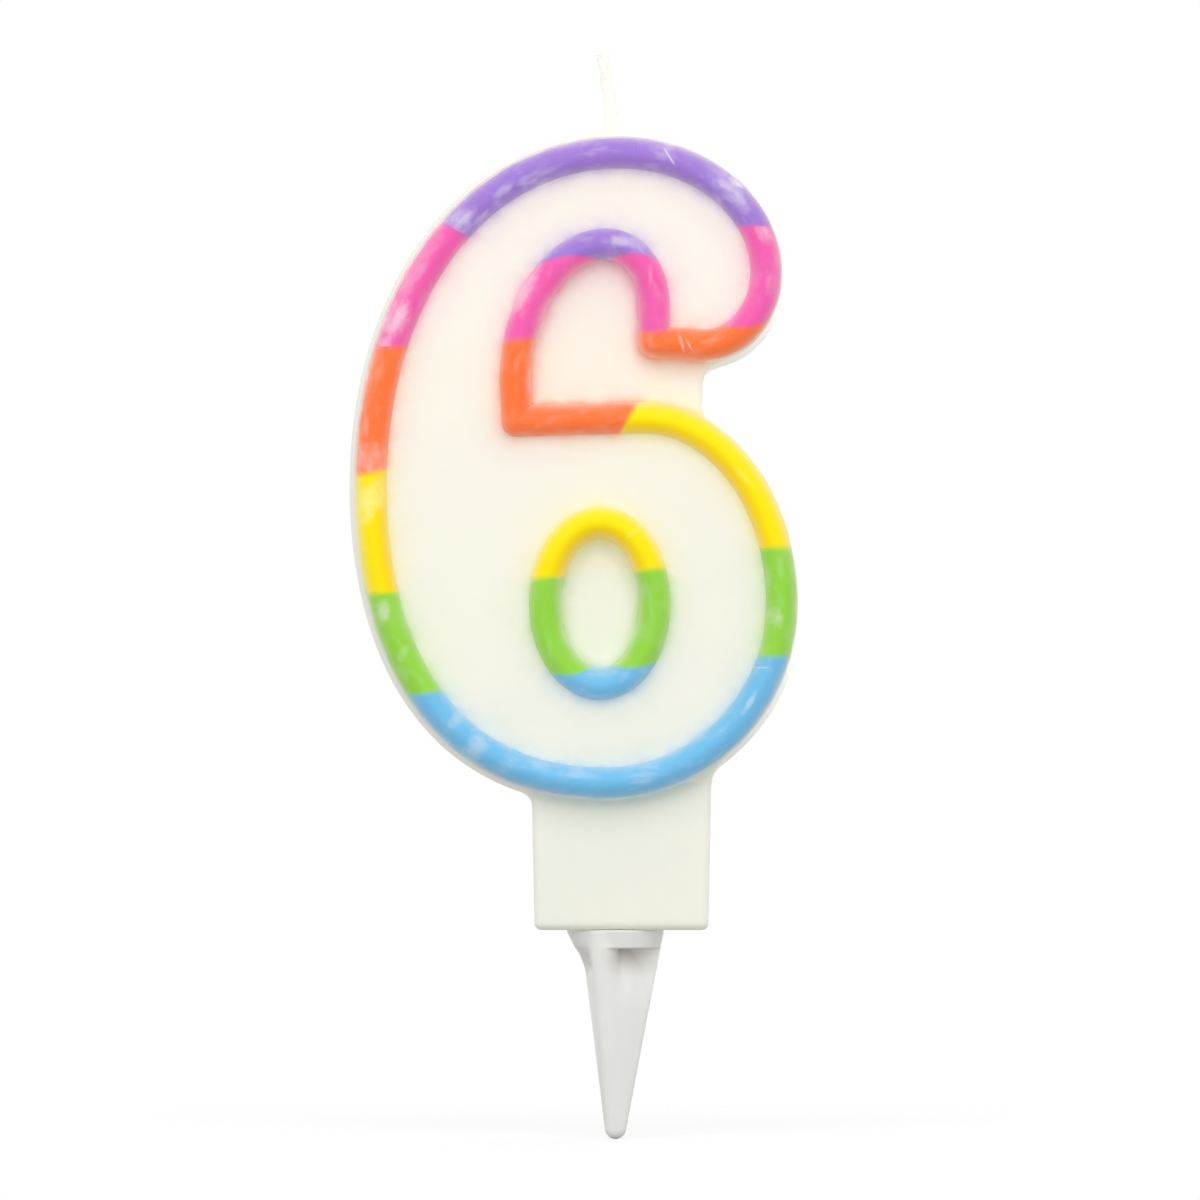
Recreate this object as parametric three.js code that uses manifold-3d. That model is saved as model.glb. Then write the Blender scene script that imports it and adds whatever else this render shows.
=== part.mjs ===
// A birthday candle shaped as the numeral 6, on a plastic pick that holds it in a cake.
//
// Millimetres, +Z up. The pick's axis is the Z axis, z = 0 is the underside of the neck,
// which rests on the icing, and the numeral faces -Y.
//
// The numeral is one casting of white wax. A half-round bead of coloured wax follows the
// numeral's front edge all the way round, a second bead rings the oval in the bowl, and
// both change colour in bands. The counter between the hook and the bowl is closed by a
// web of wax that lies back from the face, and so is the oval.

import * as THREE from 'three';
import { mergeVertices } from 'three/addons/utils/BufferGeometryUtils.js';
import Module from 'manifold-3d';

const wasm = await Module();
wasm.setup();

// The bead
const beadWidth = 3.6;
const beadHeight = 1.7;
const beadFacets = 8;
const beadStep = 1.4; // longest step along the bead

// The numeral's wall outside the bead
const frontLip = 0.15; // beyond the bead's edge, on the face
const rim = 0.9; // beyond the bead's edge, where the flared wall is widest
const backEdgeRound = 0.5;

// Depths
const slabDepth = 11.6; // face to flat back
const webRecess = 1.8; // face to the web
const neckRecess = 2.4; // face to the front of the neck
const ovalRecess = 1.8; // face to the floor of the oval
const wallSlope = 0.3; // how far the oval's wall leans in, top to floor

// Heights of the bead's centreline, each from the one below it
const neckHeight = 14.3; // seat to the lowest point of the numeral's wall
const bottomStroke = 11.1; // bead at the bottom to the oval's bead
const ovalHeight = 18.8; // between the oval bead's centrelines
const barStroke = 11.5; // oval's bead to the bar at the top of the bowl
const counterHeight = 20.6; // bar to the arch of the counter
const crownStroke = 10.2; // arch to the crown
const mouthHeight = 8.8; // bar to the lowest point of the hook

// Widths of the bead's centreline
const backReach = 28.0; // pick's axis to the back of the numeral, its leftmost point
const stemStroke = 16.4; // back to the stem of the counter
const counterWidth = 16.1; // stem to the leg of the hook
const hookWidth = 12.7; // leg to the hook's rightmost point
const bowlWidth = 47.0; // back to the bowl's rightmost point
const ovalWidth = 12.8;
const ovalAcross = 26.2; // back to the middle of the oval

// Where each round stretch turns
const backRise = 34.0; // bottom to the back's leftmost point
const bowlRise = 20.6; // bottom to the bowl's rightmost point
const bottomAcross = 26.7; // back to the lowest point
const crownAcross = 28.5; // back to the highest point
const shoulderAcross = 30.8; // back to the end of the straight bar
const barSlope = 0.4; // how much higher the bar is at the shoulder than at the stem
const stemRise = 4.5; // bar to the start of the arch
const stemLean = 0.2; // how far the stem leans left over that height
const archAcross = 10.6; // stem to the top of the arch
const legRise = 4.1; // foot of the leg to the start of the arch
const hookFootRise = 0.4; // lowest point of the hook to the foot of the leg
const hookAcross = 5.6; // leg to the hook's lowest point
const hookRise = 8.3; // lowest point of the hook to its rightmost point

// The web's open edge and the neck
const webAcross = 38.0; // back of the numeral to the web's edge
const webFillet = 2.0; // under the hook
const bowlFillet = 1.0; // over the bowl
const neckWidth = 20.7; // at the top
const neckTaper = 0.35; // each side, top to seat
const neckOffset = 0.7; // pick's axis to the middle of the neck
const neckFillet = 2.4;
const edgeRound = 0.7; // round on the long edges of the neck and the web
const neckFaceCorner = 0.1; // radius of the neck's lower corners, inside the edge round

// The wick
const wickWidth = 1.6;
const wickStand = 9.0; // above the crown
const wickLean = 1.1; // to the left, at the tip
const wickSetback = 1.0; // left of the numeral's highest point
const wickFoot = 7.0; // end of the wick above the bead at the bottom
const wickSides = 8;
const wickSteps = 24;

// The pick
const pickLength = 24.1; // seat to tip
const headWidth = 11.4;
const headDepth = 9.0; // less than the neck's, so that the candle can lie on its back
const headSide = 2.0; // height of the head's leaning side
const headTaper = 1.0; // how far that side leans in
const headFlare = 3.6; // from the foot of the side down to the spike
const flareRadius = 2.5; // at its foot
const spikeSides = 3;
const spikeTurn = 8; // degrees from the X axis to the first corner, towards the back
const spikeTop = 0.3; // below the neck
const spikeReach = 5.6; // axis to a corner at the top
const spikeCorner = 0.9; // radius of a corner at the top
const tipCorner = 1.15; // radius of a corner at the tip
const tipRadius = 1.25;
const scoopWidth = 5.0;
const scoopHeight = 3.4;
const scoopFloor = 2.2; // axis to the floor of a scoop at its top
const pegRadius = 1.6;
const pegLength = 9.0; // inside the neck
const pegChamfer = 0.5;
const fitClearance = 0.3; // round the wick and the peg
const roundFacets = 24;

// How finely the solids are faceted and worked out
const filletFacets = 5;
const edgeFacets = 2; // of the round on the long edges
const cornerShare = 1.5; // of the wall's offset that the outline leaves out at a sharp corner
const flareFacets = 6;
const flareHollow = 0.4; // share of the flare's height where it bends most
const spikeFacets = 6; // of a corner of the spike
const cornerFacets = 3; // a neck corner's quarter circle
const joinFacets = 6; // the outline's round at the hook's corner
const tipFacets = 4;
const halvings = 40; // of a stretch, to find a height on it
const headingReach = 0.05; // each way along a run, for its direction
const sameCorner = 1e-4; // corners nearer than this are one
const cutterOver = 1; // how far a cutter stands out of the wax

// Planes and points that follow from the sizes
const neckDepth = slabDepth - neckRecess;
const backY = neckDepth / 2;
const faceY = backY - slabDepth;
const outerOffset = beadWidth / 2 + rim;

const bottomZ = neckHeight + outerOffset;
const ovalLowZ = bottomZ + bottomStroke;
const barZ = ovalLowZ + ovalHeight + barStroke;
const archZ = barZ + counterHeight;
const crownZ = archZ + crownStroke;
const hookZ = barZ + mouthHeight;
const tipZ = -pickLength + tipRadius;

const backX = -backReach;
const stemX = backX + stemStroke;
const legX = stemX + counterWidth;
const hookX = legX + hookWidth;
const bowlX = backX + bowlWidth;
const ovalX = backX + ovalAcross;
const crownX = backX + crownAcross;
const wickX = crownX - wickSetback;
const webX = backX + webAcross;
const neckCorner = edgeRound + neckFaceCorner;

const point = (x, z) => new THREE.Vector2(x, z);

const crown = point(crownX, crownZ);
const back = point(backX, bottomZ + backRise);
const bottom = point(backX + bottomAcross, bottomZ);
const bowlSide = point(bowlX, bottomZ + bowlRise);
const shoulder = point(backX + shoulderAcross, barZ + barSlope);
const innerCorner = point(stemX + stemLean, barZ);
const stemTop = point(stemX, barZ + stemRise);
const archTop = point(stemX + archAcross, archZ);
const legTop = point(legX, hookZ + hookFootRise + legRise);
const hookCorner = point(legX, hookZ + hookFootRise);
const hookLow = point(legX + hookAcross, hookZ);
const hookSide = point(hookX, hookZ + hookRise);

// A quarter turn from one point to another. It leaves along the line to the corner and
// arrives along the line from it, and fullness says how far it is drawn into the corner.
function quarter(from, corner, to, fullnessFrom, fullnessTo = fullnessFrom) {
  const handleFrom = from.clone().lerp(corner, fullnessFrom);
  const handleTo = to.clone().lerp(corner, fullnessTo);
  return new THREE.CubicBezierCurve(from, handleFrom, handleTo, to);
}

const roundTurn = 0.55; // fullness of a circle or an ellipse
const openTurn = 0.58;
const fullTurn = 0.7;

// The stretches of the outer bead, clockwise from the counter's inner corner
const barAtBowlSide = innerCorner.clone().lerp(
  shoulder,
  (bowlX - innerCorner.x) / (shoulder.x - innerCorner.x),
);
const stretches = {
  bar: new THREE.LineCurve(innerCorner, shoulder),
  bowlTop: quarter(shoulder, barAtBowlSide, bowlSide, roundTurn),
  bowlRight: quarter(bowlSide, point(bowlSide.x, bottom.y), bottom, roundTurn),
  bowlLeft: quarter(bottom, point(back.x, bottom.y), back, fullTurn, roundTurn),
  backCurve: quarter(back, point(back.x, crown.y), crown, openTurn),
  hookTop: quarter(crown, point(hookSide.x, crown.y), hookSide, roundTurn),
  hookBottom: quarter(hookSide, point(hookSide.x, hookLow.y), hookLow, roundTurn),
  hookFoot: new THREE.LineCurve(hookLow, hookCorner),
  leg: new THREE.LineCurve(hookCorner, legTop),
  archRight: quarter(legTop, point(legTop.x, archTop.y), archTop, roundTurn),
  archLeft: quarter(archTop, point(stemTop.x, archTop.y), stemTop, roundTurn),
  stem: new THREE.LineCurve(stemTop, innerCorner),
};

const ovalHalf = point(ovalWidth / 2, ovalHeight / 2);
const ovalMiddle = point(ovalX, ovalLowZ + ovalHalf.y);
const ovalTop = point(ovalMiddle.x, ovalMiddle.y + ovalHalf.y);
const ovalRight = point(ovalMiddle.x + ovalHalf.x, ovalMiddle.y);
const ovalBottom = point(ovalMiddle.x, ovalMiddle.y - ovalHalf.y);
const ovalLeft = point(ovalMiddle.x - ovalHalf.x, ovalMiddle.y);
Object.assign(stretches, {
  ovalTopRight: quarter(ovalTop, point(ovalRight.x, ovalTop.y), ovalRight, roundTurn),
  ovalLowRight: quarter(ovalRight, point(ovalRight.x, ovalBottom.y), ovalBottom, roundTurn),
  ovalLowLeft: quarter(ovalBottom, point(ovalLeft.x, ovalBottom.y), ovalLeft, roundTurn),
  ovalTopLeft: quarter(ovalLeft, point(ovalLeft.x, ovalTop.y), ovalTop, roundTurn),
});

// A run is a smooth line of stretches, followed by its length in millimetres.
class Run {
  constructor(names, closed = false) {
    this.names = names;
    this.closed = closed;
    this.path = new THREE.CurvePath();
    names.forEach((name) => this.path.add(stretches[name]));
    this.length = this.path.getLength();
  }

  share(along) {
    const turns = along / this.length;
    return this.closed ? turns - Math.floor(turns) : THREE.MathUtils.clamp(turns, 0, 1);
  }

  at(along) {
    return this.path.getPoint(this.share(along));
  }

  heading(along) {
    return this.at(along + headingReach).sub(this.at(along - headingReach)).normalize();
  }

  // Square to the run, out of the wax that lies on the run's right
  outward(along) {
    const heading = this.heading(along);
    return point(-heading.y, heading.x);
  }

  // The place where a stretch has climbed the given share of its own height
  whereRise(name, rise) {
    const order = this.names.indexOf(name);
    const stretch = stretches[name];
    const before = order === 0 ? 0 : this.path.getCurveLengths()[order - 1];
    const start = stretch.getPointAt(0).y;
    const end = stretch.getPointAt(1).y;
    const goal = start < end ? rise : 1 - rise;
    let low = 0;
    let high = 1;
    for (let halving = 0; halving < halvings; halving++) {
      const middle = (low + high) / 2;
      const climbed = (stretch.getPointAt(middle).y - start) / (end - start);
      if (climbed < goal) low = middle;
      else high = middle;
    }
    return before + low * stretch.getLength();
  }
}

const mainRun = new Run([
  'bar', 'bowlTop', 'bowlRight', 'bowlLeft', 'backCurve', 'hookTop', 'hookBottom', 'hookFoot',
]);
const innerRun = new Run(['leg', 'archRight', 'archLeft', 'stem']);
const ovalRun = new Run(['ovalTopRight', 'ovalLowRight', 'ovalLowLeft', 'ovalTopLeft'], true);

// A colour change crosses the bead where a stretch has climbed the given share of its
// height, along a line that rises to the right by the given number of degrees.
function change(run, name, rise, tilt = 0) {
  const along = run.whereRise(name, rise);
  const heading = run.heading(along);
  const line = new THREE.Vector2(1, 0).rotateAround(point(0, 0), THREE.MathUtils.degToRad(tilt));
  const shear = -run.outward(along).cross(line) / heading.cross(line);
  return { along, shear };
}

const squareEnd = (along) => ({ along, shear: 0 });

// A closed skin through rings of as many points each, with both ends capped. The cap
// lists triangles of ring points, in the order in which the ring runs.
function loft(rings, cap) {
  const count = rings[0].length;
  const index = [];
  for (let ring = 0; ring < rings.length - 1; ring++) {
    for (let i = 0; i < count; i++) {
      const a = ring * count + i;
      const b = ring * count + ((i + 1) % count);
      index.push(a, b, b + count, a, b + count, a + count);
    }
  }
  const last = (rings.length - 1) * count;
  for (const [a, b, c] of cap) {
    index.push(c, b, a);
    index.push(last + a, last + b, last + c);
  }
  const geometry = new THREE.BufferGeometry();
  const corners = rings.flat().flatMap((corner) => corner.toArray());
  geometry.setAttribute('position', new THREE.Float32BufferAttribute(corners, 3));
  geometry.setIndex(facingOut(corners, index));
  return geometry;
}

// The triangles turned over if they enclose a negative volume
function facingOut(corners, index) {
  const corner = (i) => new THREE.Vector3().fromArray(corners, 3 * i);
  let volume = 0;
  for (let i = 0; i < index.length; i += 3) {
    volume += corner(index[i]).dot(corner(index[i + 1]).cross(corner(index[i + 2])));
  }
  return volume < 0 ? index.reverse() : index;
}

// The cap of a ring that bends one way all round
function fanCap(count) {
  return Array.from({ length: count - 2 }, (_, i) => [0, i + 1, i + 2]);
}

function outlineCap(ring) {
  const outline = ring.map((corner) => point(corner.x, corner.z));
  const triangles = THREE.ShapeUtils.triangulateShape(outline, []);
  const turn = ([a, b, c]) =>
    outline[b].clone().sub(outline[a]).cross(outline[c].clone().sub(outline[a]));
  const total = triangles.reduce((sum, triangle) => sum + turn(triangle), 0);
  const sameWay = total * THREE.ShapeUtils.area(outline) > 0;
  return sameWay ? triangles : triangles.map((triangle) => [...triangle].reverse());
}

function solid(geometry) {
  const bare = geometry.clone();
  bare.deleteAttribute('normal');
  bare.deleteAttribute('uv');
  const merged = mergeVertices(bare, sameCorner);
  return new wasm.Manifold(new wasm.Mesh({
    numProp: 3,
    vertProperties: new Float32Array(merged.attributes.position.array),
    triVerts: new Uint32Array(merged.index.array),
  }));
}

function geometryOf(body) {
  const mesh = body.getMesh();
  const geometry = new THREE.BufferGeometry();
  geometry.setAttribute('position', new THREE.BufferAttribute(mesh.vertProperties, 3));
  geometry.setIndex(new THREE.BufferAttribute(mesh.triVerts, 1));
  return geometry;
}

// The bead's section: a half ellipse, from its outer edge over its top to its inner edge
function beadSection() {
  const section = [];
  for (let facet = 0; facet <= beadFacets; facet++) {
    const turn = (Math.PI * facet) / beadFacets;
    section.push({
      across: (beadWidth / 2) * Math.cos(turn),
      proud: beadHeight * Math.sin(turn),
    });
  }
  return section;
}

// The bead between two ends. A sheared end moves each line of the section along the run
// by its distance from the middle, so that neighbours meet on the same slanting cut.
function beadBetween(run, from, to) {
  const section = beadSection();
  const steps = Math.max(2, Math.ceil((to.along - from.along) / beadStep));
  const rings = [];
  for (let step = 0; step <= steps; step++) {
    rings.push(section.map(({ across, proud }) => {
      const start = from.along + from.shear * across;
      const end = to.along + to.shear * across;
      const along = start + ((end - start) * step) / steps;
      const place = run.at(along).addScaledVector(run.outward(along), across);
      return new THREE.Vector3(place.x, faceY - proud, place.y);
    }));
  }
  return loft(rings, fanCap(rings[0].length));
}

// The round end that joins two stretches of bead at a sharp corner
function beadDome(corner) {
  const profile = beadSection()
    .slice(0, beadFacets / 2 + 1)
    .map(({ across, proud }) => point(across, proud));
  profile[profile.length - 1].x = 0;
  profile.unshift(point(0, 0));
  const dome = new THREE.LatheGeometry(profile, roundFacets);
  dome.rotateX(Math.PI);
  dome.translate(corner.x, faceY, corner.y);
  return dome;
}

// A band that goes round a corner, from the end of one run into the start of the other.
// The next band keeps its place where the round corner would reach into it.
function beadRoundCorner(endingRun, from, corner, startingRun, to, nextBand) {
  const before = beadBetween(endingRun, from, squareEnd(endingRun.length));
  const after = beadBetween(startingRun, squareEnd(0), to);
  const band = solid(before).add(solid(beadDome(corner))).add(solid(after));
  return geometryOf(band.subtract(solid(nextBand)));
}

// The numeral's outline, this far outside the bead's centreline. The inner corner is
// sharp, the hook's corner is round, and no point lies so near the inner corner that
// the outline could cross itself there.
function outline(offset) {
  const clearOfCorner = cornerShare * outerOffset;
  const points = [];
  const follow = (run, start, end) => {
    const steps = Math.ceil((end - start) / beadStep);
    for (let i = 0; i <= steps; i++) {
      const along = start + ((end - start) * i) / steps;
      points.push(run.at(along).addScaledVector(run.outward(along), offset));
    }
  };

  follow(mainRun, clearOfCorner, mainRun.length);
  const turnFrom = mainRun.outward(mainRun.length).angle();
  const turnTo = innerRun.outward(0).angle();
  for (let i = 1; i < joinFacets; i++) {
    const turn = turnFrom + ((turnTo - turnFrom) * i) / joinFacets;
    points.push(point(
      hookCorner.x + offset * Math.cos(turn),
      hookCorner.y + offset * Math.sin(turn),
    ));
  }
  follow(innerRun, 0, innerRun.length - clearOfCorner);
  const sideA = innerRun.outward(innerRun.length);
  const sideB = mainRun.outward(0);
  const mitre = offset / (1 + sideA.dot(sideB));
  points.push(innerCorner.clone().addScaledVector(sideA.add(sideB), mitre));
  return points;
}

// The numeral as a slab whose wall flares from the face towards the back
function slab() {
  const bead = beadWidth / 2;
  const levels = [
    { y: faceY, offset: bead + frontLip },
    { y: faceY + frontLip + backEdgeRound, offset: bead + (frontLip + rim) / 2 },
    { y: backY - backEdgeRound, offset: outerOffset },
    { y: backY, offset: outerOffset - backEdgeRound },
  ];
  const rings = levels.map(({ y, offset }) =>
    outline(offset).map((corner) => new THREE.Vector3(corner.x, y, corner.y)));
  return loft(rings, outlineCap(rings[0]));
}

// An outline in X and Z, made as deep as from the flat back to the given front, with its
// long edges rounded
function plate(corners, frontY) {
  const depth = backY - frontY;
  const geometry = new THREE.ExtrudeGeometry(new THREE.Shape(corners), {
    depth: depth - 2 * edgeRound,
    bevelThickness: edgeRound,
    bevelSize: edgeRound,
    bevelOffset: -edgeRound,
    bevelSegments: edgeFacets,
    steps: 1,
  });
  geometry.rotateX(Math.PI / 2);
  geometry.translate(0, backY - edgeRound, 0);
  return geometry;
}

// Where the numeral's wall crosses the upright line at x, nearest to the given height, and
// the corner of the wall that lies the given reach from there, on the given side
function wallCrossing(x, height, reach, side) {
  const wall = outline(outerOffset);
  let crossing = null;
  wall.forEach((start, i) => {
    const end = wall[(i + 1) % wall.length];
    if ((start.x - x) * (end.x - x) > 0 || start.x === end.x) return;
    const found = start.clone().lerp(end, (x - start.x) / (end.x - start.x));
    if (!crossing || Math.abs(found.y - height) < Math.abs(crossing.y - height)) crossing = found;
  });
  const miss = (corner) => Math.abs(corner.distanceTo(crossing) - reach);
  const beyond = wall
    .filter((corner) => (corner.x - x) * side > 0)
    .sort((a, b) => miss(a) - miss(b));
  return { crossing, beyond: beyond[0] };
}

// A concave round from an upright edge into the numeral's wall. It leaves the edge above
// the wall where upright is 1 and below it where upright is -1, and joins the wall to the
// right of the edge where side is 1 and to the left where side is -1.
function filletPoints(x, height, reach, side, upright) {
  const { crossing, beyond } = wallCrossing(x, height, reach, side);
  const onEdge = point(crossing.x, crossing.y + upright * reach);
  return new THREE.QuadraticBezierCurve(onEdge, crossing, beyond).getPoints(filletFacets);
}

// The web closes the counter. It reaches under the bead all round, and its one open edge
// is upright, between the hook and the bowl.
function web() {
  const follow = (run, length) => {
    const steps = Math.ceil(length / (2 * beadStep));
    return Array.from({ length: steps }, (_, i) => run.at((length * i) / steps));
  };
  const toBowlSide = stretches.bar.getLength() + stretches.bowlTop.getLength();
  const corners = [
    ...follow(innerRun, innerRun.length),
    ...follow(mainRun, toBowlSide).filter((corner) => corner.x < webX - beadWidth / 2),
  ];
  const overBowl = filletPoints(webX, shoulder.y, bowlFillet, 1, 1).reverse();
  const underHook = filletPoints(webX, hookZ, webFillet, 1, -1);
  const inWall = (corner, rise) => point(corner.x, corner.y + rise);
  corners.push(
    inWall(overBowl[0], -beadWidth / 2),
    ...overBowl,
    ...underHook,
    inWall(underHook[underHook.length - 1], beadWidth / 2),
  );
  return plate(corners, faceY + webRecess);
}

// The neck, from inside the numeral down to the seat, a little narrower at the seat
function neck() {
  const half = neckWidth / 2;
  const leftX = neckOffset - half;
  const rightX = neckOffset + half;
  const lowLeft = leftX + neckTaper;
  const lowRight = rightX - neckTaper;
  const leftFillet = filletPoints(leftX, bottomZ, neckFillet, -1, -1);
  const rightFillet = filletPoints(rightX, bottomZ, neckFillet, 1, -1);
  const inWall = (corner) => point(corner.x, corner.y + beadWidth / 2);
  const corners = [
    ...roundCorner(point(lowRight, 0), -1),
    ...rightFillet,
    inWall(rightFillet[rightFillet.length - 1]),
    inWall(leftFillet[leftFillet.length - 1]),
    ...leftFillet.reverse(),
    ...roundCorner(point(lowLeft, 0), 1).reverse(),
  ];
  return plate(corners, faceY + neckRecess);
}

// A lower corner of the neck as a quarter circle, from the seat up to the side
function roundCorner(corner, inward) {
  const points = [];
  for (let i = 0; i <= cornerFacets; i++) {
    const turn = (Math.PI / 2) * (i / cornerFacets);
    points.push(point(
      corner.x + inward * neckCorner * (1 - Math.sin(turn)),
      neckCorner * (1 - Math.cos(turn)),
    ));
  }
  return points;
}

function ovalPocket() {
  const ring = (y, inset) => {
    const points = [];
    const steps = Math.ceil(ovalRun.length / beadStep);
    for (let i = 0; i < steps; i++) {
      const along = (ovalRun.length * i) / steps;
      const place = ovalRun.at(along).addScaledVector(ovalRun.outward(along), -inset);
      points.push(new THREE.Vector3(place.x, y, place.y));
    }
    return points;
  };
  const inset = beadWidth / 2 + frontLip;
  const slope = wallSlope / ovalRecess;
  const rings = [
    ring(faceY - cutterOver, inset - slope * cutterOver),
    ring(faceY + ovalRecess, inset + wallSlope),
  ];
  return loft(rings, outlineCap(rings[0]));
}

// A round bar along Z between two heights, on the axis at x
function roundBar(x, lowZ, highZ, radius) {
  const bar = new THREE.CylinderGeometry(radius, radius, highZ - lowZ, roundFacets);
  bar.rotateX(Math.PI / 2);
  bar.translate(x, 0, (lowZ + highZ) / 2);
  return bar;
}

// A bar's facets lie inside its circle by this share, so a bore is made larger by it
const facetLoss = 1 / Math.cos(Math.PI / roundFacets);

const wickFootZ = bottomZ + wickFoot;
const wickTopZ = crownZ + outerOffset + wickStand;

function waxBody() {
  const wickBoreRadius = (wickWidth / 2 + fitClearance) * facetLoss;
  const socketRadius = (pegRadius + fitClearance) * facetLoss;
  const wickBore = roundBar(
    wickX, wickFootZ - fitClearance, crownZ + outerOffset + cutterOver, wickBoreRadius,
  );
  const socket = roundBar(0, -cutterOver, pegLength + fitClearance, socketRadius);
  return geometryOf(
    solid(slab())
      .add(solid(web()))
      .add(solid(neck()))
      .subtract(solid(ovalPocket()))
      .subtract(solid(wickBore))
      .subtract(solid(socket)),
  );
}

// The wick stands straight in its bore and leans a little to the left above the crown.
function wick() {
  const crownTopZ = crownZ + outerOffset;
  const route = new THREE.CurvePath();
  const foot = new THREE.Vector3(0, 0, wickFootZ);
  const mouth = new THREE.Vector3(0, 0, crownTopZ);
  const bend = new THREE.Vector3(0, 0, crownTopZ + wickStand / 2);
  const tip = new THREE.Vector3(-wickLean, 0, wickTopZ);
  route.add(new THREE.LineCurve3(foot, mouth));
  route.add(new THREE.QuadraticBezierCurve3(mouth, bend, tip));
  const section = new THREE.Shape();
  section.absarc(0, 0, wickWidth / 2, 0, 2 * Math.PI);
  return new THREE.ExtrudeGeometry(section, {
    extrudePath: route,
    steps: wickSteps,
    curveSegments: wickSides / 2,
  });
}

// A solid turned about the Z axis. The profile lists its radius and height from the top.
function turned(profile) {
  const body = new THREE.LatheGeometry([...profile].reverse(), roundFacets);
  body.rotateX(Math.PI / 2);
  return body;
}

// The peg in the wax, round and with a chamfered end
function pickPeg() {
  return turned([
    point(0, pegLength),
    point(pegRadius - pegChamfer, pegLength),
    point(pegRadius, pegLength - pegChamfer),
    point(pegRadius, -headSide),
    point(0, -headSide),
  ]);
}

// The flared head under the neck
function pickHead() {
  const sideFoot = point(headWidth / 2 - headTaper, -headSide);
  const flareFoot = point(flareRadius, -headSide - headFlare);
  const flareBend = point((sideFoot.x + flareFoot.x) / 2, sideFoot.y - flareHollow * headFlare);
  const flare = new THREE.QuadraticBezierCurve(sideFoot, flareBend, flareFoot);
  return turned([
    point(0, 0),
    point(headWidth / 2, 0),
    ...flare.getPoints(flareFacets),
    point(0, flareFoot.y),
  ]);
}

// The spike's corners at a height: how far they reach from the axis, and their radius
function spikeAt(z) {
  const share = (z + spikeTop) / (tipZ + spikeTop);
  return {
    reach: THREE.MathUtils.lerp(spikeReach, tipRadius, share),
    radius: THREE.MathUtils.lerp(spikeCorner, tipCorner, share),
  };
}

const degrees = (turn) => THREE.MathUtils.degToRad(turn);

// The spike, whose flat sides meet at round corners and draw in to the tip
function pickSpike() {
  const swing = 180 / spikeSides;
  const ring = (z) => {
    const { reach, radius } = spikeAt(z);
    const points = [];
    for (let corner = 0; corner < spikeSides; corner++) {
      const turn = spikeTurn + 2 * swing * corner;
      for (let i = 0; i <= spikeFacets; i++) {
        const facing = degrees(turn + swing * ((2 * i) / spikeFacets - 1));
        points.push(new THREE.Vector3(
          (reach - radius) * Math.cos(degrees(turn)) + radius * Math.cos(facing),
          (reach - radius) * Math.sin(degrees(turn)) + radius * Math.sin(facing),
          z,
        ));
      }
    }
    return points;
  };
  const rings = [ring(-spikeTop), ring(tipZ)];
  return loft(rings, fanCap(rings[0].length));
}

// The round tip, with a stub that runs up inside the spike
function pickTip() {
  const stubZ = tipZ + tipRadius;
  const dome = [];
  for (let i = 0; i <= tipFacets; i++) {
    const turn = (Math.PI / 2) * (i / tipFacets);
    dome.push(point(tipRadius * Math.cos(turn), tipZ - tipRadius * Math.sin(turn)));
  }
  dome[tipFacets].x = 0;
  return turned([point(0, stubZ), point(tipCorner, stubZ), ...dome]);
}

// The scoop in the flat side of the spike that faces the given number of degrees from the
// X axis: deep under the head, and running out below
function pickScoop(facing) {
  const footZ = -headSide - scoopHeight;
  const { reach, radius } = spikeAt(footZ);
  const sideReach = (reach - radius) * Math.cos(Math.PI / spikeSides) + radius;
  const section = [
    point(scoopFloor, -headSide),
    point(headWidth, -headSide),
    point(headWidth, footZ),
    point(sideReach, footZ),
  ];
  const scoop = new THREE.ExtrudeGeometry(new THREE.Shape(section), {
    depth: scoopWidth,
    bevelEnabled: false,
  });
  scoop.translate(0, 0, -scoopWidth / 2);
  scoop.rotateX(Math.PI / 2);
  scoop.rotateZ(degrees(facing));
  return scoop;
}

// The peg is round. All below it is drawn in from front to back. The two sides that meet
// at the first corner are scooped in, and the rest of the spike keeps its flare.
function pick() {
  const drawnIn = (geometry) => solid(geometry.scale(1, headDepth / headWidth, 1));
  let body = drawnIn(pickHead()).add(drawnIn(pickSpike())).add(drawnIn(pickTip()));
  for (const way of [-1, 1]) {
    const facing = spikeTurn + (way * 180) / spikeSides;
    body = body.subtract(drawnIn(pickScoop(facing)));
  }
  return geometryOf(body.add(solid(pickPeg())));
}

// Colours and finishes
const finish = (color, roughness) => new THREE.MeshStandardMaterial({ color, roughness, metalness: 0 });
const finishes = {
  white: finish(0xf8f4e8, 0.45),
  purple: finish(0x9a74cc, 0.35),
  pink: finish(0xf763b4, 0.35),
  orange: finish(0xfc7a3c, 0.35),
  yellow: finish(0xfde802, 0.35),
  green: finish(0x94d83e, 0.35),
  blue: finish(0x72b9ec, 0.35),
  cotton: finish(0xf2ead2, 0.9),
  plastic: finish(0xe6e8e2, 0.3),
};

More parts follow.
